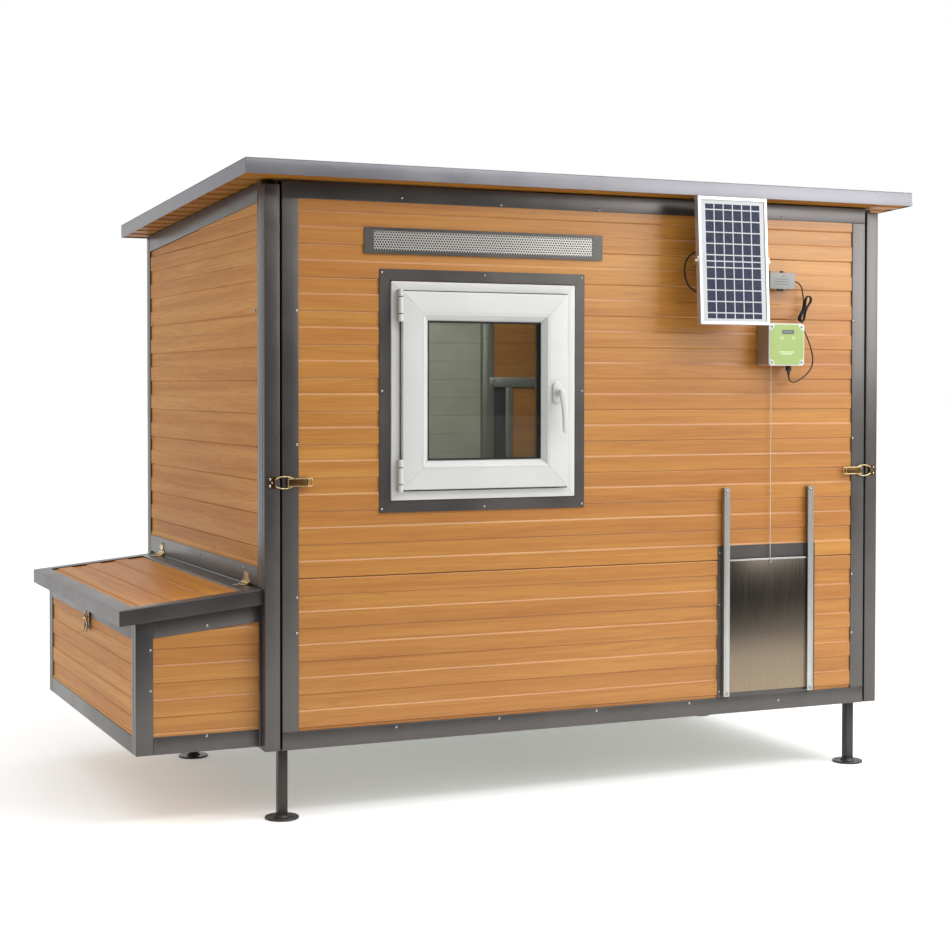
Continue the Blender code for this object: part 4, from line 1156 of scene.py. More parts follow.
def make_lid_hinges():
    """Butterfly hinges: wall leaf with its knuckles on the coop, lid leaf on the lid."""
    axis_x, axis_z = -0.049, 0.6125
    leaf_thick = 0.0014
    for end in ("front", "rear"):
        node = f"lid_hinge_{end}"
        low, high = span(node)
        half = (high.y - low.y) / 2
        axis = Vector((axis_x, (low.y + high.y) / 2, axis_z))
        spin = Matrix.Translation(axis) @ Matrix.Rotation(-math.pi / 2, 4, "X")
        wing = butterfly(half)
        wall = Shape()
        plate = facing(axis + Vector((0.0047, 0, 0)), "left")
        wall.take(prism([(-half, -0.0005), (half, -0.0005)] + wing, 0.0, 0.0013, 0.0004), plate)
        for number in (0, 2, 4):
            wall.take(knuckle(number, half), spin)
        for y in (-0.016, 0.016):
            screw_parts(wall, axis + Vector((0.0034, y, 0.011)), "left", 0.0032)
        piece(f"{node}_wall_leaf", "coop", wall, ("brass", "recess"), (node,))

        lid = Shape()
        slant = Matrix.Translation(axis) @ Matrix.Rotation(-LID_ANGLE, 4, "Y")
        flap = [(-0.0016, half * 0.98)] + [(-out, y) for y, out in wing] + [(-0.0016, -half * 0.98)]
        lid.take(prism(flap, -0.0028 - leaf_thick, -0.0028, 0.0004), slant)
        for number in (1, 3):
            lid.take(knuckle(number, half), spin)
        for y in (-0.014, 0.014):
            head = turned(((0, 0), (0.0032, 0), (0.0028, 0.0009), (0.0016, 0.0014), (0, 0.0015)), 20)
            lid.take(head, slant @ Matrix.Translation((-0.011, y, -0.0028)))
        piece(f"{node}_lid_leaf", "nest_lid", lid, ("brass",))


def butterfly(half):
    """Shaped edge of a hinge leaf as (along, out) points from one end of the pin to the other."""
    wing = [(half, 0.008), (half * 0.72, 0.013), (half * 0.66, 0.017), (half * 0.66, 0.025),
            (half * 0.46, 0.030), (half * 0.28, 0.026), (half * 0.12, 0.026), (0.0, 0.034)]
    return wing + [(-along, out) for along, out in wing[-2::-1]]


def knuckle(number, half):
    """One of the five knuckles along a hinge's pin."""
    wide = 2 * half / 5
    start = -half + number * wide
    end = start + wide - 0.0004
    return turned(((0, start), (0.0022, start), (0.0028, start + 0.0006), (0.0028, end - 0.0006),
                   (0.0022, end), (0, end)), 20)


# ---------------------------------------------------------------- window

def make_window():
    trim_low, trim_high = span("window_trim")
    trim = rect_of("window_trim")
    wide = 0.0295
    sheet = [(0.0, trim_high.y), (0.0, trim_low.y + 0.0005), (0.0005, trim_low.y),
             (wide - 0.0005, trim_low.y), (wide, trim_low.y + 0.0005), (wide, trim_high.y)]
    mitred("window_trim", "front_wall", trim, sheet, FRONT, "coat", ("window_trim",))
    points = []
    for x in (trim[0] + 0.007, trim[1] - 0.007):
        for z in (trim[2] + 0.010, (trim[2] + trim[3]) / 2, trim[3] - 0.010):
            points.append((x, trim_low.y, z))
    for z in (trim[2] + 0.010, trim[3] - 0.010):
        points.append(((trim[0] + trim[1]) / 2, trim_low.y, z))
    screws("window_trim_screws", "front_wall", points, "front", 0.0030)

    low, high = span("window_frame")
    front, back = low.y, high.y
    ring = 0.037
    section = [(0.0, back), (0.0, front + 0.0015), *arc((0.0015, front + 0.0015), 0.0015, 180, 270, 3),
               *arc((0.0225, front + 0.0012), 0.0012, 270, 360, 3), (0.0237, front + 0.009),
               (0.0300, front + 0.009), (0.0300, front + 0.030), (ring, front + 0.030), (ring, back)]
    mitred("window_frame", "front_wall", rect_of("window_frame"), section, FRONT, "pvc",
           ("window_frame",))

    low, high = span("window_sash")
    rect = rect_of("window_sash")
    front = low.y
    flange_back = span("window_frame")[0].y - 0.0005
    glazed = 0.077
    section = [
        (0.0, flange_back), (0.0, front + 0.002), *arc((0.002, front + 0.002), 0.002, 180, 270, 4),
        (0.0555, front), (0.0558, front + 0.0007), (0.0566, front + 0.0007), (0.0569, front),
        *arc((0.0600, front + 0.003), 0.003, 270, 320, 3), (0.0740, front + 0.0118),
        (glazed, front + 0.0142), (glazed, high.y), (0.012, high.y), (0.012, flange_back),
    ]
    mitred("window_sash", "sash", rect, section, FRONT, "pvc", ("window_sash",))
    lip = [(0.0006, flange_back + 0.0004), (0.0006, flange_back - 0.0011), (0.0030, flange_back - 0.0011),
           (0.0030, flange_back + 0.0004)]
    mitred("window_sash_seal", "sash", inset(rect, -0.0012), lip, FRONT, "seal", cut=0.0)

    glass_low, glass_high = span("window_glass")
    rect = rect_of("window_glass")
    pane = 0.004
    unit = Shape()
    for y in (glass_low.y + 0.0004, glass_high.y - pane):
        unit.take(box((rect[0] + 0.0004, y, rect[2] + 0.0004),
                      (rect[1] - 0.0004, y + pane - 0.0004, rect[3] - 0.0004), 0.0004, 1))
    piece("window_panes", "sash", unit, ("glass",), ("window_glass",))
    bead = [(0.0, glass_low.y + 0.0002), (0.0, glass_low.y - 0.0012), (0.0028, glass_low.y - 0.0006),
            (0.0030, glass_low.y + 0.0002)]
    mitred("window_glazing_seal", "sash", rect, bead, FRONT, "seal", cut=0.0)
    bar = [(0.0006, glass_low.y + pane + 0.0004), (0.0046, glass_low.y + pane + 0.0004),
           (0.0046, glass_high.y - pane - 0.0004), (0.0006, glass_high.y - pane - 0.0004)]
    mitred("window_spacer", "sash", rect, bar, FRONT, "spacer", cut=0.0)


def make_window_hinges():
    """Moulded hinge: three knuckles with domed caps and a leaf on the frame."""
    for name in ("window_hinge_lower", "window_hinge_upper"):
        low, high = span(name)
        radius = 0.0065
        centre = Vector((low.x + radius, low.y + radius, low.z))
        tall = high.z - low.z
        shape = Shape()
        cuts = (0.0, 0.24, 0.76, 1.0)
        for number, (start, end) in enumerate(zip(cuts, cuts[1:])):
            z0 = tall * start + (0.0008 if number else 0.0)
            z1 = tall * end - (0.0008 if number < 2 else 0.0)
            outline = [(0, z0), (radius * 0.72, z0), (radius, z0 + 0.0014), (radius, z1 - 0.0014),
                       (radius * 0.72, z1), (0, z1)]
            shape.take(turned(outline, 32), Matrix.Translation(centre))
        # A dark core that shows in the gaps between the knuckles: painted shade.
        core = turned(((0, 0.001), (radius * 0.80, 0.001), (radius * 0.80, tall - 0.001),
                       (0, tall - 0.001)), 24)
        shape.take(core, Matrix.Translation(centre), 1)
        # The leaf takes the darker copy of the PVC: painted shade beside the barrel.
        leaf = box((centre.x - 0.0055, centre.y + 0.0010, low.z + 0.002),
                   (centre.x + 0.0045, high.y, high.z - 0.002), 0.001)
        shape.take(leaf, Matrix(), 2)
        piece(f"{name}_barrel", "front_wall", shape, ("pvc", "recess", "pvc_shade"), (name,))


def make_handle():
    """Espagnolette handle: rosette on the sash, curved grip on the spindle."""
    sash_front = span("window_sash")[0].y
    axis = Vector((0.7825, sash_front, 1.118))
    rosette = prism(rounded_outline(-0.0130, 0.0130, -0.0300, 0.0300, 0.0125, 8), 0.0, 0.0078, 0.0030, 4)
    shape = Shape().take(rosette, facing(axis, "front"))
    piece("window_handle_rosette", "sash", shape, ("pvc",))
    grip = Shape()
    stem = turned(((0, 0.0085), (0.0098, 0.0085), (0.0098, 0.0120), (0.0084, 0.0150), (0.0082, 0.034),
                   (0, 0.034)), 28)
    grip.take(stem, facing(axis, "front"))
    front = span("window_handle")[0].y + 0.0062
    lever = (
        ((axis.x, front + 0.0010, 1.1278), 0.0040, 0.0026), ((axis.x, front, 1.1262), 0.0074, 0.0048),
        ((axis.x, front, 1.1220), 0.0096, 0.0060), ((axis.x + 0.0006, front, 1.1130), 0.0098, 0.0062),
        ((axis.x + 0.0034, front + 0.0006, 1.0960), 0.0090, 0.0058),
        ((axis.x + 0.0068, front + 0.0012, 1.0740), 0.0082, 0.0054),
        ((axis.x + 0.0088, front + 0.0014, 1.0520), 0.0078, 0.0052),
        ((axis.x + 0.0094, front + 0.0008, 1.0300), 0.0078, 0.0050),
        ((axis.x + 0.0086, front + 0.0004, 1.0150), 0.0072, 0.0046),
        ((axis.x + 0.0080, front + 0.0004, 1.0092), 0.0052, 0.0036),
        ((axis.x + 0.0078, front + 0.0004, 1.0072), 0.0028, 0.0020),
    )
    grip.take(loft(lever, 2.8, 24))
    piece("window_handle_grip", "sash_handle", grip, ("pvc",), ("window_handle",), crease=50.0)


# ---------------------------------------------------------------- vent

VENT_PITCH = 0.0075
VENT_HOLE = 0.00285


def perforated(left, right, low, high, front, back):
    """Sheet with staggered round holes, built from six-sided cells that share their edges."""
    bm = bmesh.new()
    shared = {}

    def vertex(x, y, z):
        key = (round(x, 6), round(y, 6), round(z, 6))
        if key not in shared:
            shared[key] = bm.verts.new((x, y, z))
        return shared[key]

    row_step = VENT_PITCH * math.sqrt(3) / 2
    reach = VENT_PITCH / math.sqrt(3)
    rows = int((high - low) / row_step)
    walls = {}
    for row in range(rows):
        z = low + (row + 0.5) * row_step
        shift = 0.5 * VENT_PITCH * (row % 2)
        count = int((right - left - shift) / VENT_PITCH)
        for column in range(count):
            x = left + shift + (column + 0.5) * VENT_PITCH
            rim, edge = [], []
            for step in range(12):
                angle = math.radians(30 * step + 30)
                rim.append((x + VENT_HOLE * math.cos(angle), z + VENT_HOLE * math.sin(angle)))
                far = reach if step % 2 == 0 else VENT_PITCH / 2
                edge.append((x + far * math.cos(angle), z + far * math.sin(angle)))
            for step in range(12):
                after = (step + 1) % 12
                for y, flip in ((front, False), (back, True)):
                    face = [vertex(edge[step][0], y, edge[step][1]),
                            vertex(edge[after][0], y, edge[after][1]),
                            vertex(rim[after][0], y, rim[after][1]),
                            vertex(rim[step][0], y, rim[step][1])]
                    bm.faces.new(face[::-1] if flip else face)
                bm.faces.new((vertex(rim[step][0], front, rim[step][1]),
                              vertex(rim[after][0], front, rim[after][1]),
                              vertex(rim[after][0], back, rim[after][1]),
                              vertex(rim[step][0], back, rim[step][1])))
                key = frozenset((tuple(round(v, 6) for v in edge[step]),
                                 tuple(round(v, 6) for v in edge[after])))
                walls.setdefault(key, []).append((edge[step], edge[after]))
    for found in walls.values():
        if len(found) == 1:
            (x0, z0), (x1, z1) = found[0]
            bm.faces.new((vertex(x1, front, z1), vertex(x0, front, z0),
                          vertex(x0, back, z0), vertex(x1, back, z1)))
    return bm


def make_vent():
    low, high = span("vent_grille")
    rect = rect_of("vent_grille")
    left, right = rect[0] + 0.027, rect[1] - 0.031
    bottom, top = rect[2] + 0.0095, rect[3] - 0.0085
    face = low.y
    plate = Shape()
    ring = ((rect[0], left, rect[2], rect[3]), (right, rect[1], rect[2], rect[3]),
            (left, right, rect[2], bottom), (left, right, top, rect[3]))
    for a, b, c, d in ring:
        plate.take(box((a, face, c), (b, face + 0.0012, d), 0.0003, 1))
    plate.take(box((rect[0] + 0.006, face + 0.0012, rect[2] + 0.003),
                   (left - 0.004, high.y, rect[3] - 0.003), 0.0002, 1))
    plate.take(box((right + 0.004, face + 0.0012, rect[2] + 0.003),
                   (rect[1] - 0.006, high.y, rect[3] - 0.003), 0.0002, 1))
    piece("vent_frame", "front_wall", plate, ("coat",), ("vent_grille",))
    sheet = perforated(left - 0.0035, right + 0.0035, bottom - 0.0015, top + 0.0035,
                       face + 0.0013, face + 0.0021)
    piece("vent_sheet", "front_wall", Shape().take(sheet), ("mesh",))
    # A black sheet behind the perforated sheet, so that its holes show dark: painted shade.
    screen = box((left - 0.003, face + 0.0060, bottom - 0.001), (right + 0.003, face + 0.0068, top + 0.003),
                 0.0002, 1)
    piece("vent_insect_screen", "front_wall", Shape().take(screen), ("recess",))


# ---------------------------------------------------------------- pop door

def make_pop_door():
    """Flange and liner of the opening, two guide rails and the sliding leaf."""
    low, high = span("pop_door_trim")
    left, right, bottom, top = rect_of("pop_door_trim")
    hole = pop_hole()
    sheet = 0.0012
    plate = Shape()
    for a, b, c, d in ((left, hole[0], bottom, top), (hole[1], right, bottom, top),
                       (hole[0], hole[1], bottom, hole[2]), (hole[0], hole[1], hole[3], top)):
        plate.take(box((a, low.y, c), (b, high.y, d), 0.0004, 1))
    piece("pop_door_flange", "front_wall", plate, ("coat",), ("pop_door_trim",))
    liner = Shape()
    back = span("front_siding_panel")[1].y
    for a, b, c, d in ((hole[0], hole[0] + sheet, hole[2], hole[3]),
                       (hole[1] - sheet, hole[1], hole[2], hole[3]),
                       (hole[0], hole[1], hole[2], hole[2] + sheet),
                       (hole[0], hole[1], hole[3] - sheet, hole[3])):
        liner.take(box((a, high.y + GAP, c), (b, back, d), 0.0003, 1))
    piece("pop_door_liner", "front_wall", liner, ("coat",))
    points = [(x, low.y, z) for x in (left + 0.0060, right - 0.0060) for z in (0.655, 0.505, 0.253)]
    screws("pop_door_trim_screws", "front_wall", points, "front", 0.0026)
    make_guide_rail("guide_rail_left", 1)
    make_guide_rail("guide_rail_right", -1)

    low, high = span("pop_door")
    leaf = Shape().take(box(low, high, 0.0005, 2))
    fold = box((low.x + 0.012, low.y - 0.0012, high.z - 0.0052),
               (high.x - 0.012, low.y + 0.0002, high.z - 0.0006), 0.0005, 2)
    leaf.take(fold, Matrix(), 1)
    piece("pop_door_leaf", "door_leaf", leaf, ("alu_door", "alu"), ("pop_door",))
    cord_x = 1.487
    clip = [(-0.0040, -0.010), (0.0040, -0.010), (0.0040, 0.0006), (0.0022, 0.0030),
            (-0.0022, 0.0030), (-0.0040, 0.0006)]
    eye = Shape().take(prism(clip, 0.0014, 0.0022, 0.0002),
                       facing((cord_x, low.y + 0.0002, high.z - 0.006), "front"))
    screw_parts(eye, (cord_x, low.y - 0.0019, high.z - 0.0125), "front", 0.0020)
    piece("pop_door_cord_clip", "door_leaf", eye, ("screw", "recess"))


def make_guide_rail(node, open_side):
    """Extruded rail with a slot for the leaf; open_side is 1 where the slot faces right."""
    low, high = span(node)
    middle = (low.x + high.x) / 2
    front, back = low.y, high.y
    outer, inner = (low.x, high.x) if open_side > 0 else (high.x, low.x)
    section = [(outer, back), (outer, front + 0.0012), (outer + open_side * 0.0012, front),
               (inner - open_side * 0.0008, front), (inner, front + 0.0008), (inner, front + 0.0055),
               (middle, front + 0.0055), (middle, front + 0.0095), (inner, front + 0.0095),
               (inner, back)]
    ridge = sorted((middle - open_side * 0.004, middle - open_side * 0.0046))
    shape = Shape().take(prism(section, low.z, high.z, 0.0))
    shape.take(box((ridge[0], front - 0.0003, low.z + 0.001), (ridge[1], front + 0.001, high.z - 0.001),
                   0.0), Matrix(), 1)
    piece(f"{node}_profile", "front_wall", shape, ("alu", "zinc"), (node,))
    points = [(middle, front, z) for z in (low.z + 0.008, high.z - 0.010)]
    screws(f"{node}_screws", "front_wall", points, "front", 0.0042)


def make_lift_cord():
    """Twisted lift cord under the opener, built at one length; the real cord shortens as the winch takes it
    up.
    """
    low, high = span("lift_cord")
    centre = (low + high) / 2
    radius = (high.x - low.x) / 2
    tall = high.z - low.z
    pitch = 0.012
    turns = tall / pitch
    steps = int(turns * 8)
    shape = Shape()
    for strand in range(2):
        route = []
        for step in range(steps + 1):
            angle = 2 * math.pi * turns * step / steps + math.pi * strand
            route.append((centre.x + 0.42 * radius * math.cos(angle),
                          centre.y + 0.42 * radius * math.sin(angle), low.z + tall * step / steps))
        shape.take(tube(route, radius * 0.58, 8))
    cord = piece("lift_cord_strands", "front_wall", shape, ("cord",), ("lift_cord",), crease=60.0)
    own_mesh(cord)
    # The knot at the door leaf is a trefoil.
    middle = Vector((centre.x, centre.y, 0.831))
    flat, deep = 0.0010, 0.0016
    count = 40
    route = []
    for step in range(count):
        angle = 2 * math.pi * step / (count - 1)
        swing = Vector((flat * (math.sin(angle) + 2 * math.sin(2 * angle)),
                        flat * (math.cos(angle) - 2 * math.cos(2 * angle)),
                        -deep * math.sin(3 * angle)))
        route.append(middle + swing)
    knot = Shape().take(tube(route, 0.0010, 8))
    piece("lift_cord_knot", "door_leaf", knot, ("cord",), crease=60.0)


# ---------------------------------------------------------------- door opener and controller

def make_opener():
    """Open-fronted housing with the winch inside, and its screwed lid."""
    low, high = span("opener_base")
    wall, corner = 0.003, 0.009
    outside = rounded_outline(low.x, high.x, low.z, high.z, corner, 6)
    inside = rounded_outline(low.x + wall, high.x - wall, low.z + wall, high.z - wall, corner - wall, 6)
    bm = bmesh.new()
    rings = [[bm.verts.new((x, depth, z)) for x, z in points]
             for points, depth in ((outside, high.y), (outside, low.y), (inside, low.y),
                                   (inside, high.y - 0.0025))]
    piece("opener_housing", "front_wall", Shape().take(skin(bm, rings)), ("housing",), ("opener_base",))
    make_opener_lid(low, high, outside)
    low, high = span("winch_spool")
    radius = (high.x - low.x) / 2
    core = radius - 0.004
    place = facing((low + high) / 2, "front")
    outline = ((0, -0.005), (radius, -0.005), (radius, -0.0038), (core, -0.0030), (core, 0.0030),
               (radius, 0.0038), (radius, 0.005), (0, 0.005))
    spool = Shape().take(turned(outline, 40), place)
    for number in range(6):
        angle = number * math.pi / 3
        boss = turned(((0, 0.0049), (0.0018, 0.0049), (0.0018, 0.0053), (0, 0.0053)), 16)
        spot = Matrix.Translation((0.009 * math.cos(angle), 0.009 * math.sin(angle), 0))
        spool.take(boss, place @ spot, 1)
    piece("winch_drum", "winch", spool, ("black", "zinc"), ("winch_spool",))


def make_opener_lid(low, high, outline):
    """Lid with a green label: display, two pairs of arrows, two stripes and four screws."""
    cover_low, cover_high = span("opener_cover")
    depth = cover_high.y - cover_low.y - 0.0010
    face = cover_low.y + 0.0010
    skin_depth = 0.0005
    lid = Shape().take(prism(outline, 0.0, depth, 0.0014, 3), facing((0, cover_high.y, 0), "front"))
    # The label's corners are cut out round the screws.
    notch, rim = 0.0165, 0.0030
    label = []
    for x, z, start in ((low.x + rim, low.z + rim, 90), (high.x - rim, low.z + rim, 180),
                        (high.x - rim, high.z - rim, 270), (low.x + rim, high.z - rim, 360)):
        label += arc((x, z), notch, start, start - 90, 8)
    lid.take(prism(label, 0.0, skin_depth, 0.0001), facing((0, face, 0), "front"), 1)
    shown = facing((0, face - skin_depth, 0), "front")
    display = rounded_outline(1.4885, 1.5290, 1.2865, 1.2980, 0.0016, 4)
    lid.take(prism(display, -0.0001, 0.0002, 0.00005), shown, 2)
    glass = rounded_outline(1.4905, 1.5270, 1.2882, 1.2963, 0.0008, 3)
    lid.take(prism(glass, 0.0001, 0.0003, 0.00002), shown, 3)
    marks = []
    for x in (1.4866, 1.5262):
        marks += [((x - 0.0042, 1.2756), (x + 0.0002, 1.2756), (x - 0.0020, 1.2800)),
                  ((x + 0.0026, 1.2740), (x + 0.0070, 1.2740), (x + 0.0048, 1.2696)),
                  ((x - 0.0028, 1.2700), (x - 0.0012, 1.2700), (x - 0.0012, 1.2757), (x - 0.0028, 1.2757)),
                  ((x + 0.0040, 1.2739), (x + 0.0056, 1.2739), (x + 0.0056, 1.2796), (x + 0.0040, 1.2796))]
    for reach, z in ((0.026, 1.2335), (0.020, 1.2278)):
        marks.append(rounded_outline(1.5040 - reach, 1.5040 + reach, z, z + 0.0026, 0.0012, 3))
    for mark in marks:
        lid.take(prism(mark, -0.0001, 0.00018, 0.0), shown, 4)
    for x in (low.x + 0.0098, high.x - 0.0098):
        for z in (low.z + 0.0098, high.z - 0.0098):
            place = facing((x, face, z), "front")
            lid.take(turned(((0.0034, -0.0002), (0.0056, -0.0002), (0.0056, 0.0008), (0.0050, 0.0010),
                             (0.0036, 0.0010), (0.0034, 0.0006)), 28), place)
            lid.take(turned(((0, -0.0004), (0.0033, -0.0004), (0.0033, 0.0002), (0.0026, 0.0006),
                             (0, 0.0006)), 24), place, 5)
            # The cross slots are dark bars on the screw heads: painted shade.
            for turn in (0.5, 0.5 + math.pi / 2):
                slot = box((-0.0021, -0.0004, 0.0005), (0.0021, 0.0004, 0.0007), 0)
                lid.take(slot, place @ Matrix.Rotation(turn, 4, "Z"), 6)
    piece("opener_lid", "front_wall", lid,
          ("cover", "label", "black", "display", "mark", "screw", "recess"), ("opener_cover",))


def make_controller():
    """Charge controller: grey lid on a black base with screw lugs and terminals."""
    low, high = span("charge_controller")
    left, right, bottom, top = low.x, high.x, low.z, high.z
    front, back = low.y, high.y
    behind = facing((0, back, 0), "front")
    plain = Matrix()
    inner_low, inner_high = bottom + 0.0035, top - 0.0035
    shape = Shape()
    base = rounded_outline(left + 0.001, right - 0.001, inner_low, inner_high, 0.003, 4)
    shape.take(prism(base, 0.0, 0.0130, 0.0006), behind, 1)
    shape.take(box((left, front + 0.0015, inner_low), (left + 0.0050, back, inner_high), 0.0008), plain, 1)
    for x in (left + 0.006, left + 0.050):
        knob = box((x - 0.0035, front + 0.004, top - 0.0040), (x + 0.0035, front + 0.013, top + 0.0024),
                   0.0010)
        shape.take(knob, plain, 1)
    cover = rounded_outline(left + 0.0052, right, bottom + 0.0030, top - 0.0030, 0.003, 4)
    shape.take(prism(cover, 0.0132, back - front, 0.0012, 3), behind)
    for z in (top - 0.0040, bottom + 0.0040):
        for x in (left + 0.010, right - 0.020):
            lug = rounded_outline(x - 0.0055, x + 0.0055, z - 0.004, z + 0.004, 0.0035, 4)
            shape.take(prism(lug, 0.0, 0.0030, 0.0005), behind, 1)
            head = turned(((0, 0.0030), (0.0030, 0.0030), (0.0026, 0.0042), (0.0014, 0.0048),
                           (0, 0.0049)), 20)
            shape.take(head, facing((x, back, z), "front"), 2)
    for number in (0, 2, 4):
        z = bottom + 0.0165 + number * 0.0036
        shape.take(box((left + 0.020, front - 0.00015, z), (right - 0.024, front + 0.0003, z + 0.0009), 0),
                   plain, 3)
    lamp = turned(((0, 0), (0.0017, 0), (0.0017, 0.0006), (0.0010, 0.0012), (0, 0.0013)), 20)
    shape.take(lamp, facing((left + 0.052, front + 0.0003, top - 0.0125), "front"), 1)
    for x in (left + 0.040, left + 0.052):
        boot = box((x - 0.004, front + 0.004, bottom - 0.0024), (x + 0.004, front + 0.014, bottom + 0.0040),
                   0.0012)
        shape.take(boot, plain, 1)
    piece("charge_controller_case", "front_wall", shape, ("controller", "black", "screw", "recess"),
          ("charge_controller",))


# ---------------------------------------------------------------- solar panel

SOLAR_PIVOT = Vector((1.295, -0.101, 1.488))
SOLAR_HALF_WIDTH = 0.114


def make_solar():
    """Solar panel: framed laminate with its cells and junction box, drawn upright, then tilted."""
    place = Matrix.Translation(SOLAR_PIVOT) @ Matrix.Rotation(-math.radians(3.3), 4, "X")
    half_width, half_height, half_thick = SOLAR_HALF_WIDTH, 0.180, 0.009
    lip = 0.010
    rect = (-half_width, half_width, -half_height, half_height)
    section = [(0.0, half_thick), (0.0, -half_thick + 0.0008), (0.0008, -half_thick),
               (lip - 0.0008, -half_thick), (lip, -half_thick + 0.0008), (lip, -half_thick + 0.0022),
               (0.0022, -half_thick + 0.0024), (0.0022, half_thick - 0.0016),
               (lip, half_thick - 0.0014), (lip, half_thick)]
    mitred("solar_frame", "solar_panel", rect, section, place, "solar_frame", ("solar_frame",), cut=0.0002)
    front = -0.0066
    pane = inset(rect, 0.0026)
    sheet = Shape().take(box((pane[0], front, pane[2]), (pane[1], -0.0035, pane[3]), 0.0003, 1), place)
    # Two blocks of cells; the first and last row of each are cut in half.
    columns, wide, tall, gap = 6, 0.0270, 0.0286, 0.0033
    block = (0.5, 1, 1, 1, 1, 0.5)
    x_start = -(columns * wide + (columns - 1) * gap) / 2
    z = half_height - 0.021
    for share in block + block:
        height = tall * share
        for column in range(columns):
            x = x_start + column * (wide + gap)
            sheet.take(box((x, front - 0.00012, z - height), (x + wide, front + 0.0004, z), 0), place, 1)
        z -= height + gap
    piece("solar_laminate_cells", "solar_panel", sheet, ("backsheet", "cells"), ("solar_laminate",))
    junction = Shape().take(box((-0.033, -0.0034, -0.120), (0.033, 0.0085, -0.060), 0.002, 3), place)
    junction.take(box((-0.031, 0.0086, -0.118), (0.031, 0.0115, -0.062), 0.0015, 2), place)
    for x in (-0.026, 0.026):
        for z in (-0.113, -0.067):
            head = turned(((0, 0), (0.0028, 0), (0.0024, 0.0008), (0, 0.0011)), 16)
            junction.take(head, place @ facing((x, 0.0112, z), "rear"), 1)
    piece("solar_junction_box", "solar_panel", junction, ("black", "screw"))
    bolts = Shape()
    for side in (-1, 1):
        bolt = turned(((0, 0), (0.0060, 0), (0.0060, 0.0006), (0.0046, 0.0006), (0.0046, 0.0034),
                       (0.0038, 0.0040), (0, 0.0040)), 6)
        bolts.take(bolt, place @ Matrix.Translation((side * (half_width + 0.0046), 0, 0))
                   @ Matrix.Rotation(side * math.pi / 2, 4, "Y"))
    piece("solar_pivot_bolts", "front_wall", bolts, ("screw",))


def make_solar_yoke():
    """Yoke that carries the panel: two side tabs, a cross bar, a neck, a wall plate and gussets."""
    reach = SOLAR_HALF_WIDTH + 0.001
    at = Matrix.Translation(SOLAR_PIVOT)
    yoke = Shape()
    for side in (-1, 1):
        xs = sorted((side * reach, side * (reach + 0.0035)))
        yoke.take(box((xs[0], -0.007, -0.012), (xs[1], 0.021, 0.012), 0.0008), at)
        yoke.take(box((side * 0.012 - 0.0012, 0.070, -0.030), (side * 0.012 + 0.0012, 0.0984, 0.030),
                      0.0006), at)
    yoke.take(box((-reach - 0.0002, 0.0172, -0.012), (reach + 0.0002, 0.0208, 0.012), 0.0008), at)
    yoke.take(box((-0.009, 0.0208, -0.010), (0.009, 0.0980, 0.010), 0.0015), at)
    yoke.take(box((-0.040, 0.0982, -0.045), (0.040, 0.1025, 0.042), 0.0012), at)
    piece("solar_yoke", "front_wall", yoke, ("alu",), ("solar_bracket",))
    heads = [SOLAR_PIVOT + Vector((x, 0.0982, z)) for x in (-0.030, 0.030) for z in (-0.035, 0.032)]
    screws("solar_yoke_screws", "front_wall", heads, "front")


# ---------------------------------------------------------------- cables

def make_solar_cable():
    route = smooth_route(SOLAR_CABLE_ROUTE, 150)
    shape = Shape().take(tube(route, SOLAR_CABLE_DIAMETER / 2, 12))
    mesh = bpy.data.meshes.new("solar_cable_tube")
    mesh.from_pydata([ORIGIN + point for point in shape.points], [], shape.faces)
    mesh.materials.append(MATERIALS["cable"])
    mesh.shade_smooth()
    cable = bpy.data.objects.new("solar_cable_tube", mesh)
    bpy.context.collection.objects.link(cable)
    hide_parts("solar_cable")
    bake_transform(cable)


def make_charge_cable():
    points = CHARGE_UPPER_ROUTE[:-1] + tuple(hank_route()[1:]) + CHARGE_LOWER_ROUTE
    route = smooth_route(points, 6 * len(points))
    curve = bpy.data.curves.new("charge_cable", "CURVE")
    curve.dimensions = "3D"
    curve.bevel_depth = CHARGE_CABLE_DIAMETER / 2
    curve.bevel_resolution = 3
    curve.use_fill_caps = True
    curve.materials.append(MATERIALS["cable"])
    spline = curve.splines.new("POLY")
    spline.points.add(len(route) - 1)
    for target, point in zip(spline.points, route):
        target.co = (*(ORIGIN + point), 1.0)
    cable = bpy.data.objects.new("charge_cable", curve)
    bpy.context.collection.objects.link(cable)
    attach(cable, "front_wall")
    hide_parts("charge_cable_upper", "cable_hank", "charge_cable_lower")
    plug, tie = make_plug(), make_cable_tie()
    relief_length, count = 0.012, 7
    taper = [(0.0044 - 0.0019 * step / (count - 1), relief_length * step / (count - 1))
             for step in range(count)]
    relief = turned([(0, 0.0)] + taper + [(0, relief_length)], 20)
    place = Matrix.Translation(CHARGE_UPPER_ROUTE[0]) @ Matrix.Rotation(math.radians(92), 4, "Y")
    piece("charge_cable_relief", "front_wall", Shape().take(relief, place), ("black",))


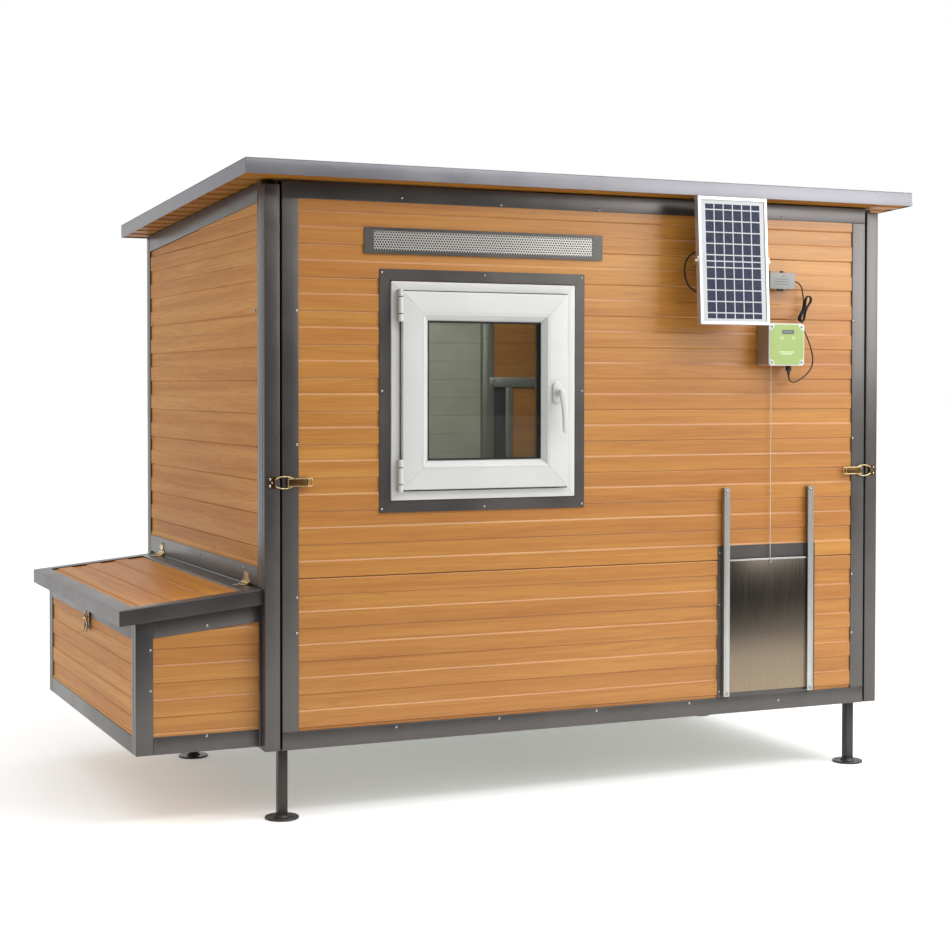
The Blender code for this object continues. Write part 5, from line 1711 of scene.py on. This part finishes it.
def make_plug():
    """Moulded plug: slim ringed neck below, ribbed grip above."""
    low, high = span("cable_plug")
    centre = (low + high) / 2
    tall = high.z - low.z
    wide = (high.x - low.x) / 2
    sections = ((0.0, 0.27), (0.002, 0.34), (0.30, 0.42), (0.34, 0.55), (0.52, 0.92), (0.60, 1.0),
                (0.80, 0.97), (0.90, 0.86), (1.0, 0.80))
    plug = Shape().take(loft([((centre.x, centre.y, low.z + share * tall), wide * size, wide * size * 0.86)
                              for share, size in sections], 2.6, 24))
    for number in range(4):
        z = low.z + (0.06 + 0.065 * number) * tall
        ring = turned(((0.0016, -0.0005), (0.0036, -0.0005), (0.0036, 0.0005), (0.0016, 0.0005)), 20)
        plug.take(ring, Matrix.Translation((centre.x, centre.y, z)))
    for side in (-1, 1):
        x = centre.x + side * wide * 0.94
        for number in range(3):
            z = low.z + (0.62 + 0.07 * number) * tall
            plug.take(box((x - 0.0004, centre.y - 0.0035, z - 0.0005),
                          (x + 0.0004, centre.y + 0.0035, z + 0.0005), 0.0002, 1))
    return piece("cable_plug_body", "front_wall", plug, ("black",), ("cable_plug",))


def make_cable_tie():
    """Two turns of wire tie round the hank's waist."""
    lean = Matrix.Translation(HANK_CENTRE) @ Matrix.Rotation(HANK_LEAN, 4, "Y")
    turns, sides = 2, 28
    steps = turns * sides
    rise = 0.0024
    wrap = []
    for step in range(steps + 1):
        angle = 2 * math.pi * step / sides
        wrap.append(lean @ Vector((0.0064 * math.cos(angle), 0.0080 * math.sin(angle),
                                   rise * step / steps - rise / 2)))
    tie = Shape().take(tube(wrap, 0.0011, 8))
    return piece("cable_tie", "front_wall", tie, ("black",), crease=60.0)


# ---------------------------------------------------------------- latches

LATCH_SHEET = 0.0012
BAIL_REACH = 0.0505         # length of a wall latch's wire loop


def lever_shape(mirror, axis, length, half):
    """Pressed channel lever: dark bronze web; its turned edges, end bars, pin and screw heads are bright
    gold, painted highlight. Open loop at the tip.
    """
    shape = Shape()
    place = facing(axis, "front") @ Matrix.Diagonal((mirror, 1, 1, 1))
    web = length * 0.84
    bar = 0.0028
    shape.take(box((0.002, -half * 0.74, 0.0002), (web, half * 0.74, 0.0014), 0.0004), place, 1)
    shape.take(box((0.010, -half * 0.30, 0.0012), (web - 0.006, half * 0.30, 0.0019), 0.0003), place, 1)
    for side in (-1, 1):
        rim = sorted((side * half * 0.70, side * half * 0.92))
        shape.take(box((-0.002, rim[0], -0.0020), (length, rim[1], 0.0030), 0.0006), place)
    for end in (web, length):
        shape.take(box((end - bar, -half * 0.90, 0.0004), (end, half * 0.90, 0.0030), 0.0006), place)
    pin = turned(((0, -half), (0.0021, -half), (0.0021, half), (0, half)), 16)
    shape.take(pin, place @ Matrix.Rotation(math.pi / 2, 4, "X"))
    for side in (-1, 1):
        head = turned(((0, 0.0), (0.0028, 0.0), (0.0024, 0.0012), (0, 0.0017)), 20)
        shape.take(head, place @ Matrix.Translation((0.004, side * half * 0.80, 0.0026)))
    return shape


def bail_shape(mirror, link, reach, half, wire):
    """Bowed wire loop from the lever's side eyes to the keeper."""
    side = [(0.003, half * 0.62), (-0.002, half * 0.72), (-reach * 0.24, half * 0.98),
            (-reach * 0.45, half * 1.12), (-reach * 0.68, half * 1.08), (-reach * 0.86, half * 0.90),
            (-reach * 0.97, half * 0.66), (-reach, half * 0.40), (-reach, 0.0)]
    route = side + [(x, -y) for x, y in side[-2::-1]]
    face = facing(link, "front")
    points = [face @ Vector((mirror * x, y, 0)) for x, y in route]
    shape = Shape().take(tube(smooth_route(points, 90), wire, 12))
    for end in (-1, 1):
        eye = turned(((0, -0.0014), (0.0036, -0.0014), (0.0036, 0.0014), (0, 0.0014)), 20)
        shape.take(eye, Matrix.Translation(face @ Vector((0, end * half * 0.70, 0))))
    return shape


def make_wall_latches():
    for side, mirror in (("left", 1), ("right", -1)):
        low, high = span(f"{side}_latch_lever")
        z = (low.z + high.z) / 2
        near = low.x if mirror > 0 else high.x
        axis = Vector((near + mirror * 0.002, -0.006, z))
        link = axis + Vector((mirror * 0.016, 0, 0))
        lever = lever_shape(mirror, axis, high.x - low.x - 0.002, (high.z - low.z) / 2)
        # The lever's edges and the wire loop are bright gold: painted highlight on the dark bronze.
        piece(f"{side}_latch_lever_channel", f"{side}_lever", lever, ("brass", "bronze"),
              (f"{side}_latch_lever",))
        piece(f"{side}_latch_bail_wire", f"{side}_bail",
              bail_shape(mirror, link, BAIL_REACH, 0.0140, 0.0015), ("brass",),
              (f"{side}_latch_bail",), crease=60.0)
        make_latch_base(side, mirror, axis)
        make_keeper(side, mirror, z, link.x - mirror * BAIL_REACH)


def make_latch_base(side, mirror, axis):
    """Base plate with two ears for the lever's pin and two screws."""
    flat = facing((0, 0, 0), "front")
    xs = sorted((axis.x - mirror * 0.004, axis.x + mirror * 0.050))
    plate = rounded_outline(*xs, axis.z - 0.0095, axis.z + 0.0095, 0.004, 5)
    base = Shape().take(prism(plate, 0.0, LATCH_SHEET, 0.0003), flat)
    for up in (-1, 1):
        ear = [(axis.x - 0.0040, 0.0), (axis.x + 0.0040, 0.0), (axis.x + 0.0032, 0.0075),
               (axis.x, 0.0090), (axis.x - 0.0032, 0.0075)]
        at = Matrix.Translation((0, 0, axis.z + up * 0.0088 - 0.0006)) @ Matrix.Rotation(math.pi, 4, "X")
        base.take(prism(ear, -LATCH_SHEET, 0.0, 0.0003), at)
    for reach in (0.014, 0.043):
        screw_parts(base, (axis.x + mirror * reach, -LATCH_SHEET, axis.z), "front", 0.0026)
    piece(f"{side}_latch_base", "front_wall", base, ("bronze", "recess"))


def make_keeper(side, mirror, z, bar):
    """Riveted plate on the corner post with three hooks for the wire loop at bar."""
    post = span(f"corner_post_{side}")
    outer = post[0].x + 0.007 if mirror > 0 else post[1].x - 0.007
    xs = sorted((outer, outer + mirror * 0.025))
    plate = rounded_outline(*xs, z - 0.016, z + 0.016, 0.005, 5)
    keeper = Shape().take(prism(plate, 0.0, LATCH_SHEET, 0.0003), facing((0, 0, 0), "front"))
    hook = [(0.0, 0.0012), (0.0, 0.0050), (0.0010, 0.0078), (0.0032, 0.0092), (0.0056, 0.0086),
            (0.0052, 0.0074), (0.0034, 0.0078), (0.0024, 0.0064), (0.0022, 0.0012)]
    section = [(bar - mirror * (0.0052 - across), -out) for across, out in hook]
    for up in (-1, 0, 1):
        start = z + up * 0.0062 - 0.0026
        keeper.take(prism(section, start, start + 0.0052, 0.0))
    for across, up in ((0.0062, -0.0088), (0.0062, 0.0088), (0.0126, 0.0)):
        rivet = turned(((0, 0), (0.0031, 0), (0.0027, 0.0012), (0.0015, 0.0019), (0, 0.0020)), 20)
        keeper.take(rivet, facing((outer + mirror * across, -LATCH_SHEET, z + up), "front"), 1)
    piece(f"{side}_latch_keeper", "coop", keeper, ("bronze", "screw"))


def make_nest_latch():
    """Draw latch under the lid: lever and wire loop on the box, hook on the lid's edge."""
    low, high = span("nest_latch_lever")
    y = (low.y + high.y) / 2
    half = (high.y - low.y) / 2
    axis = Vector((-0.382, y, 0.498))
    length = axis.z - low.z
    # Local X runs along -Y, local Y down the lever and local Z into the wall.
    turn = Matrix((Vector((0, -1, 0)), Vector((0, 0, -1)), Vector((1, 0, 0)))).transposed().to_4x4()
    place = Matrix.Translation(axis) @ turn
    tip = [(half * 0.62 * math.cos(math.radians(angle)),
            length * (0.80 + 0.19 * math.sin(math.radians(angle)))) for angle in range(0, 181, 20)]
    outline = [(-half * 0.85, -0.001), (half * 0.85, -0.001), (half, length * 0.3),
               (half * 0.9, length * 0.72), *tip, (-half * 0.9, length * 0.72), (-half, length * 0.3)]
    # Dark bronze lever plate; its wire edges, loop and barrel are bright gold, painted highlight.
    shape = Shape().take(prism(outline, -0.0022, -0.0008, 0.0004, 2), place, 1)
    wire = 0.0016
    for side in (-1, 1):
        x = side * half * 0.90
        edge = [(x, 0.000, 0.0005), (x, 0.006, -0.0040), (x, 0.016, -0.0060), (x, 0.028, -0.0040),
                (x * 0.9, 0.038, -0.0045), (x * 0.7, 0.046, -0.0075), (x * 0.45, 0.0520, -0.0120)]
        shape.take(tube(smooth_route([place @ Vector(point) for point in edge], 40), wire, 10))
    loop = [(-half * 0.405, 0.0520, -0.0120), (0.0, 0.0550, -0.0135), (half * 0.405, 0.0520, -0.0120)]
    shape.take(tube(smooth_route([place @ Vector(point) for point in loop], 20), wire, 10))
    barrel = turned(((0, -half), (0.0034, -half), (0.0040, 0.0), (0.0034, half), (0, half)), 20)
    shape.take(barrel, place @ Matrix.Translation((0, 0.012, -0.0046))
               @ Matrix.Rotation(math.pi / 2, 4, "Y"))
    # The slot is a dark sheet on the lever's face: painted shade.
    slot = rounded_outline(-half * 0.32, half * 0.32, length * 0.42, length * 0.74, half * 0.30, 5)
    shape.take(prism(slot, -0.0024, -0.0020, 0.0001), place, 2)
    piece("nest_latch_lever_channel", "nest_lever", shape, ("brass", "bronze", "recess"),
          ("nest_latch_lever",))
    make_nest_bail(axis.x)
    wall = span("nest_frame")[0].x
    plate = rounded_outline(-y - 0.0130, -y + 0.0130, 0.452, 0.508, 0.004, 5)
    base = Shape().take(prism(plate, 0.0, LATCH_SHEET, 0.0003), facing((wall, 0, 0), "left"))
    for z in (0.462, 0.489):
        screw_parts(base, (wall - LATCH_SHEET, y, z), "left", 0.0024)
    piece("nest_latch_base", "coop", base, ("bronze", "recess"))
    section = [(-0.3845, 0.5340), (-0.3845, 0.5220), (-0.3860, 0.5200), (-0.3872, 0.5212),
               (-0.3872, 0.5240), (-0.3886, 0.5240), (-0.3886, 0.5200), (-0.3868, 0.5182),
               (-0.3845, 0.5186), (-0.3831, 0.5210), (-0.3831, 0.5340)]
    wide = 0.016
    hook = Shape().take(prism(section, 0.0, wide, 0.0), facing((0, y + wide / 2, 0), "front"))
    piece("nest_latch_hook", "nest_lid", hook, ("nickel",))


def make_nest_bail(x):
    """Wire loop from the nest latch's lever up to the hook."""
    low, high = span("nest_latch_bail")
    wire = 0.0015
    link = 0.480
    y = (low.y + high.y) / 2
    side = low.y + wire
    top = high.z - wire
    route = [(x + 0.0012, side, link), (x + 0.0010, side, link + 0.020),
             (x + 0.0006, side, top - 0.006), (x + 0.0006, side + 0.0018, top - 0.0012),
             (x + 0.0006, side + 0.006, top)]
    route += [(across, 2 * y - along, z) for across, along, z in route[::-1]]
    bail = Shape().take(tube(smooth_route(route, 70), 0.0018, 12))
    piece("nest_latch_bail_wire", "nest_bail", bail, ("brass",), ("nest_latch_bail",), crease=60.0)


# ---------------------------------------------------------------- inside

def make_inside():
    """Perch, then the uprights, rail and boards of the rear wall's inner side."""
    low, high = span("perch_bar")
    perch = Shape().take(box(low, high, 0.008, 5))
    piece("perch_rail", "coop", perch, ("timber_x",), ("perch_bar",))
    holders = Shape()
    play, wide = 0.0005, 0.013
    for start in (low.x + play, high.x - play - wide):
        for a, b, c, d in ((low.y - 0.004, high.y + 0.004, low.z - 0.004, low.z - 0.0005),
                           (low.y - 0.004, low.y - 0.0005, low.z - 0.004, high.z - 0.006),
                           (high.y + 0.0005, high.y + 0.004, low.z - 0.004, high.z - 0.006)):
            holders.take(box((start, a, c), (start + wide, b, d), 0.0006))
    piece("perch_holders", "coop", holders, ("zinc",))
    inner = span("rear_wall_frame")[0].y
    parts = (
        ("inner_post", (1.104, inner - 0.030, 0.250), (1.143, inner - 0.0005, 1.575), "zinc"),
        ("inner_rail", (1.128, inner - 0.0335, 1.132), (1.780, inner - 0.0305, 1.166), "zinc"),
        ("inner_low_post", (1.190, inner - 0.030, 0.250), (1.215, inner - 0.020, 1.131), "zinc"),
        # The inner boards take the oak copy painted darker: painted shade.
        ("inner_board_high", (1.1435, inner - 0.022, 1.150), (1.780, inner - 0.0005, 1.560), "oak_dim"),
        ("inner_board_low", (1.216, inner - 0.022, 0.250), (1.780, inner - 0.0005, 1.149), "oak_dim"),
        ("inner_panel_low", (1.1435, inner - 0.010, 0.250), (1.215, inner - 0.0005, 1.149), "seal"),
    )
    for name, corner_low, corner_high, material in parts:
        shape = Shape().take(box(corner_low, corner_high, 0.0012, 2))
        if name == "inner_post":
            shape.take(box((1.117, inner - 0.0315, 0.252), (1.1195, inner - 0.0295, 1.573), 0.0004))
        piece(name, "coop", shape, (material,))
    grooves = []
    for number in range(20):
        z = 0.290 + 0.062 * number
        grooves += [(z - 0.0030, 0.0), (z - 0.0012, 0.0), (z, 0.0016), (z + 0.0012, 0.0),
                    (z + 0.0030, 0.0)]
    lining = Shape().take(slab(0.050, 1.103, 0.250, 1.570, grooves, 0.006),
                          panel_place((1, 0, 0), (0, 1, 0), (0, inner - 0.0070, 0)))
    piece("inner_lining", "coop", lining, ("skin",))
    heads = [(1.112, inner - 0.0315, 1.300), (1.142, inner - 0.0335, 1.155),
             (1.134, inner - 0.0335, 1.143)]
    screws("inner_rail_screws", "coop", heads, "front", 0.0036)


def finish_carried_nodes():
    """Materials and fine bevels for the CAD nodes that stay visible."""
    for node, material in (("base_frame", "leg"), ("nest_floor", "timber_y"),
                           ("nest_access_board", "timber_y")):
        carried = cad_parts[node]
        carried.data.materials.clear()
        carried.data.materials.append(MATERIALS[material])
        bevel = carried.modifiers.new("edges", "BEVEL")
        bevel.width = 0.0015
        bevel.segments = 2
        bevel.limit_method = "ANGLE"


# ---------------------------------------------------------------- stage

def area_light(name, place, target, size, power):
    data = bpy.data.lights.new(name, "AREA")
    data.shape = "RECTANGLE"
    data.size, data.size_y = size
    data.energy = power
    light = bpy.data.objects.new(name, data)
    light.location = ORIGIN + Vector(place)
    aim = ORIGIN + Vector(target) - light.location
    light.rotation_euler = aim.to_track_quat("-Z", "Y").to_euler()
    bpy.context.collection.objects.link(light)


def make_world():
    """White backdrop behind the object and overhead, dim room on the camera's side."""
    world = bpy.data.worlds.new("studio")
    world.use_nodes = True
    nodes, links = world.node_tree.nodes, world.node_tree.links
    sky = nodes["Background"]
    sky.inputs["Color"].default_value = (1.0, 1.0, 1.0, 1.0)
    parts = nodes.new("ShaderNodeSeparateXYZ")
    links.new(nodes.new("ShaderNodeTexCoord").outputs["Generated"], parts.inputs[0])
    joined = nodes.new("ShaderNodeMath")
    joined.operation = "MAXIMUM"
    ranges = (("Y", (-0.5, 0.4, 0.12, 1.0)), ("Z", (0.35, 0.85, 0.0, 1.25)))
    for number, (axis, values) in enumerate(ranges):
        ranged = nodes.new("ShaderNodeMapRange")
        for socket, value in zip(("From Min", "From Max", "To Min", "To Max"), values):
            ranged.inputs[socket].default_value = value
        links.new(parts.outputs[axis], ranged.inputs["Value"])
        links.new(ranged.outputs["Result"], joined.inputs[number])
    links.new(joined.outputs["Value"], sky.inputs["Strength"])
    bpy.context.scene.world = world
    bpy.context.scene.view_settings.view_transform = "Standard"


def make_stage():
    make_world()
    floor_mesh = bpy.data.meshes.new("floor")
    reach = 60.0
    corners = [(-reach, -reach, 0), (reach, -reach, 0), (reach, reach, 0), (-reach, reach, 0)]
    floor_mesh.from_pydata(corners, [], [(0, 1, 2, 3)])
    floor = bpy.data.objects.new("floor", floor_mesh)
    bpy.context.collection.objects.link(floor)
    # Back-lit white paper that ends in a grey room in front of the object.
    paper = Finish("floor_paper", 0.9, Specular_IOR_Level=0.0)
    ahead = Vector((0.408, 0.913, 0.0))
    depth = paper.node("ShaderNodeVectorMath", {0: paper.place, 1: ahead},
                       operation="DOT_PRODUCT").outputs["Value"]
    near = ahead.dot(ORIGIN + CAMERA_PLACE) + 2.75
    lit = paper.level(depth, near, near + 0.8, 0.03, 0.26)
    cloud = paper.noise((0.4, 0.4, 0.4), 2.0)
    white = paper.ramp(cloud, ((0.3, (0.86, 0.86, 0.86, 1)), (0.7, (0.88, 0.88, 0.88, 1))))
    paper.colour(paper.mix(paper.level(depth, near, near + 0.8, 0.0, 1.0), (0.22, 0.22, 0.22, 1), white))
    paper.shader.inputs["Emission Color"].default_value = (1.0, 1.0, 1.0, 1.0)
    paper.tree.links.new(lit, paper.shader.inputs["Emission Strength"])
    floor_mesh.materials.append(paper.material)
    area_light("key", (3.4, -2.3, 2.1), (1.2, 0.0, 1.0), (2.3, 1.5), 60)
    area_light("top", (0.6, -2.6, 3.6), (0.8, 0.2, 0.9), (3.4, 0.8), 36)
    area_light("edge", (2.7, -1.6, 4.0), (0.9, 0.0, 0.8), (4.4, 0.6), 84)
    area_light("inside", (0.75, 0.55, 1.52), (0.85, 1.2, 0.9), (0.7, 0.5), 6.0)


make_camera()
make_materials()
make_solar_cable()
make_charge_cable()
make_front_wall()
make_posts()
side_wall("left")
side_wall("right")
make_rear_wall()
make_roof()
make_base()
make_nest()
make_lid()
make_lid_flashing()
make_lid_hinges()
make_window()
make_window_hinges()
make_handle()
make_vent()
make_pop_door()
make_lift_cord()
make_opener()
make_controller()
make_solar()
make_solar_yoke()
make_wall_latches()
make_nest_latch()
make_inside()
finish_carried_nodes()
make_stage()
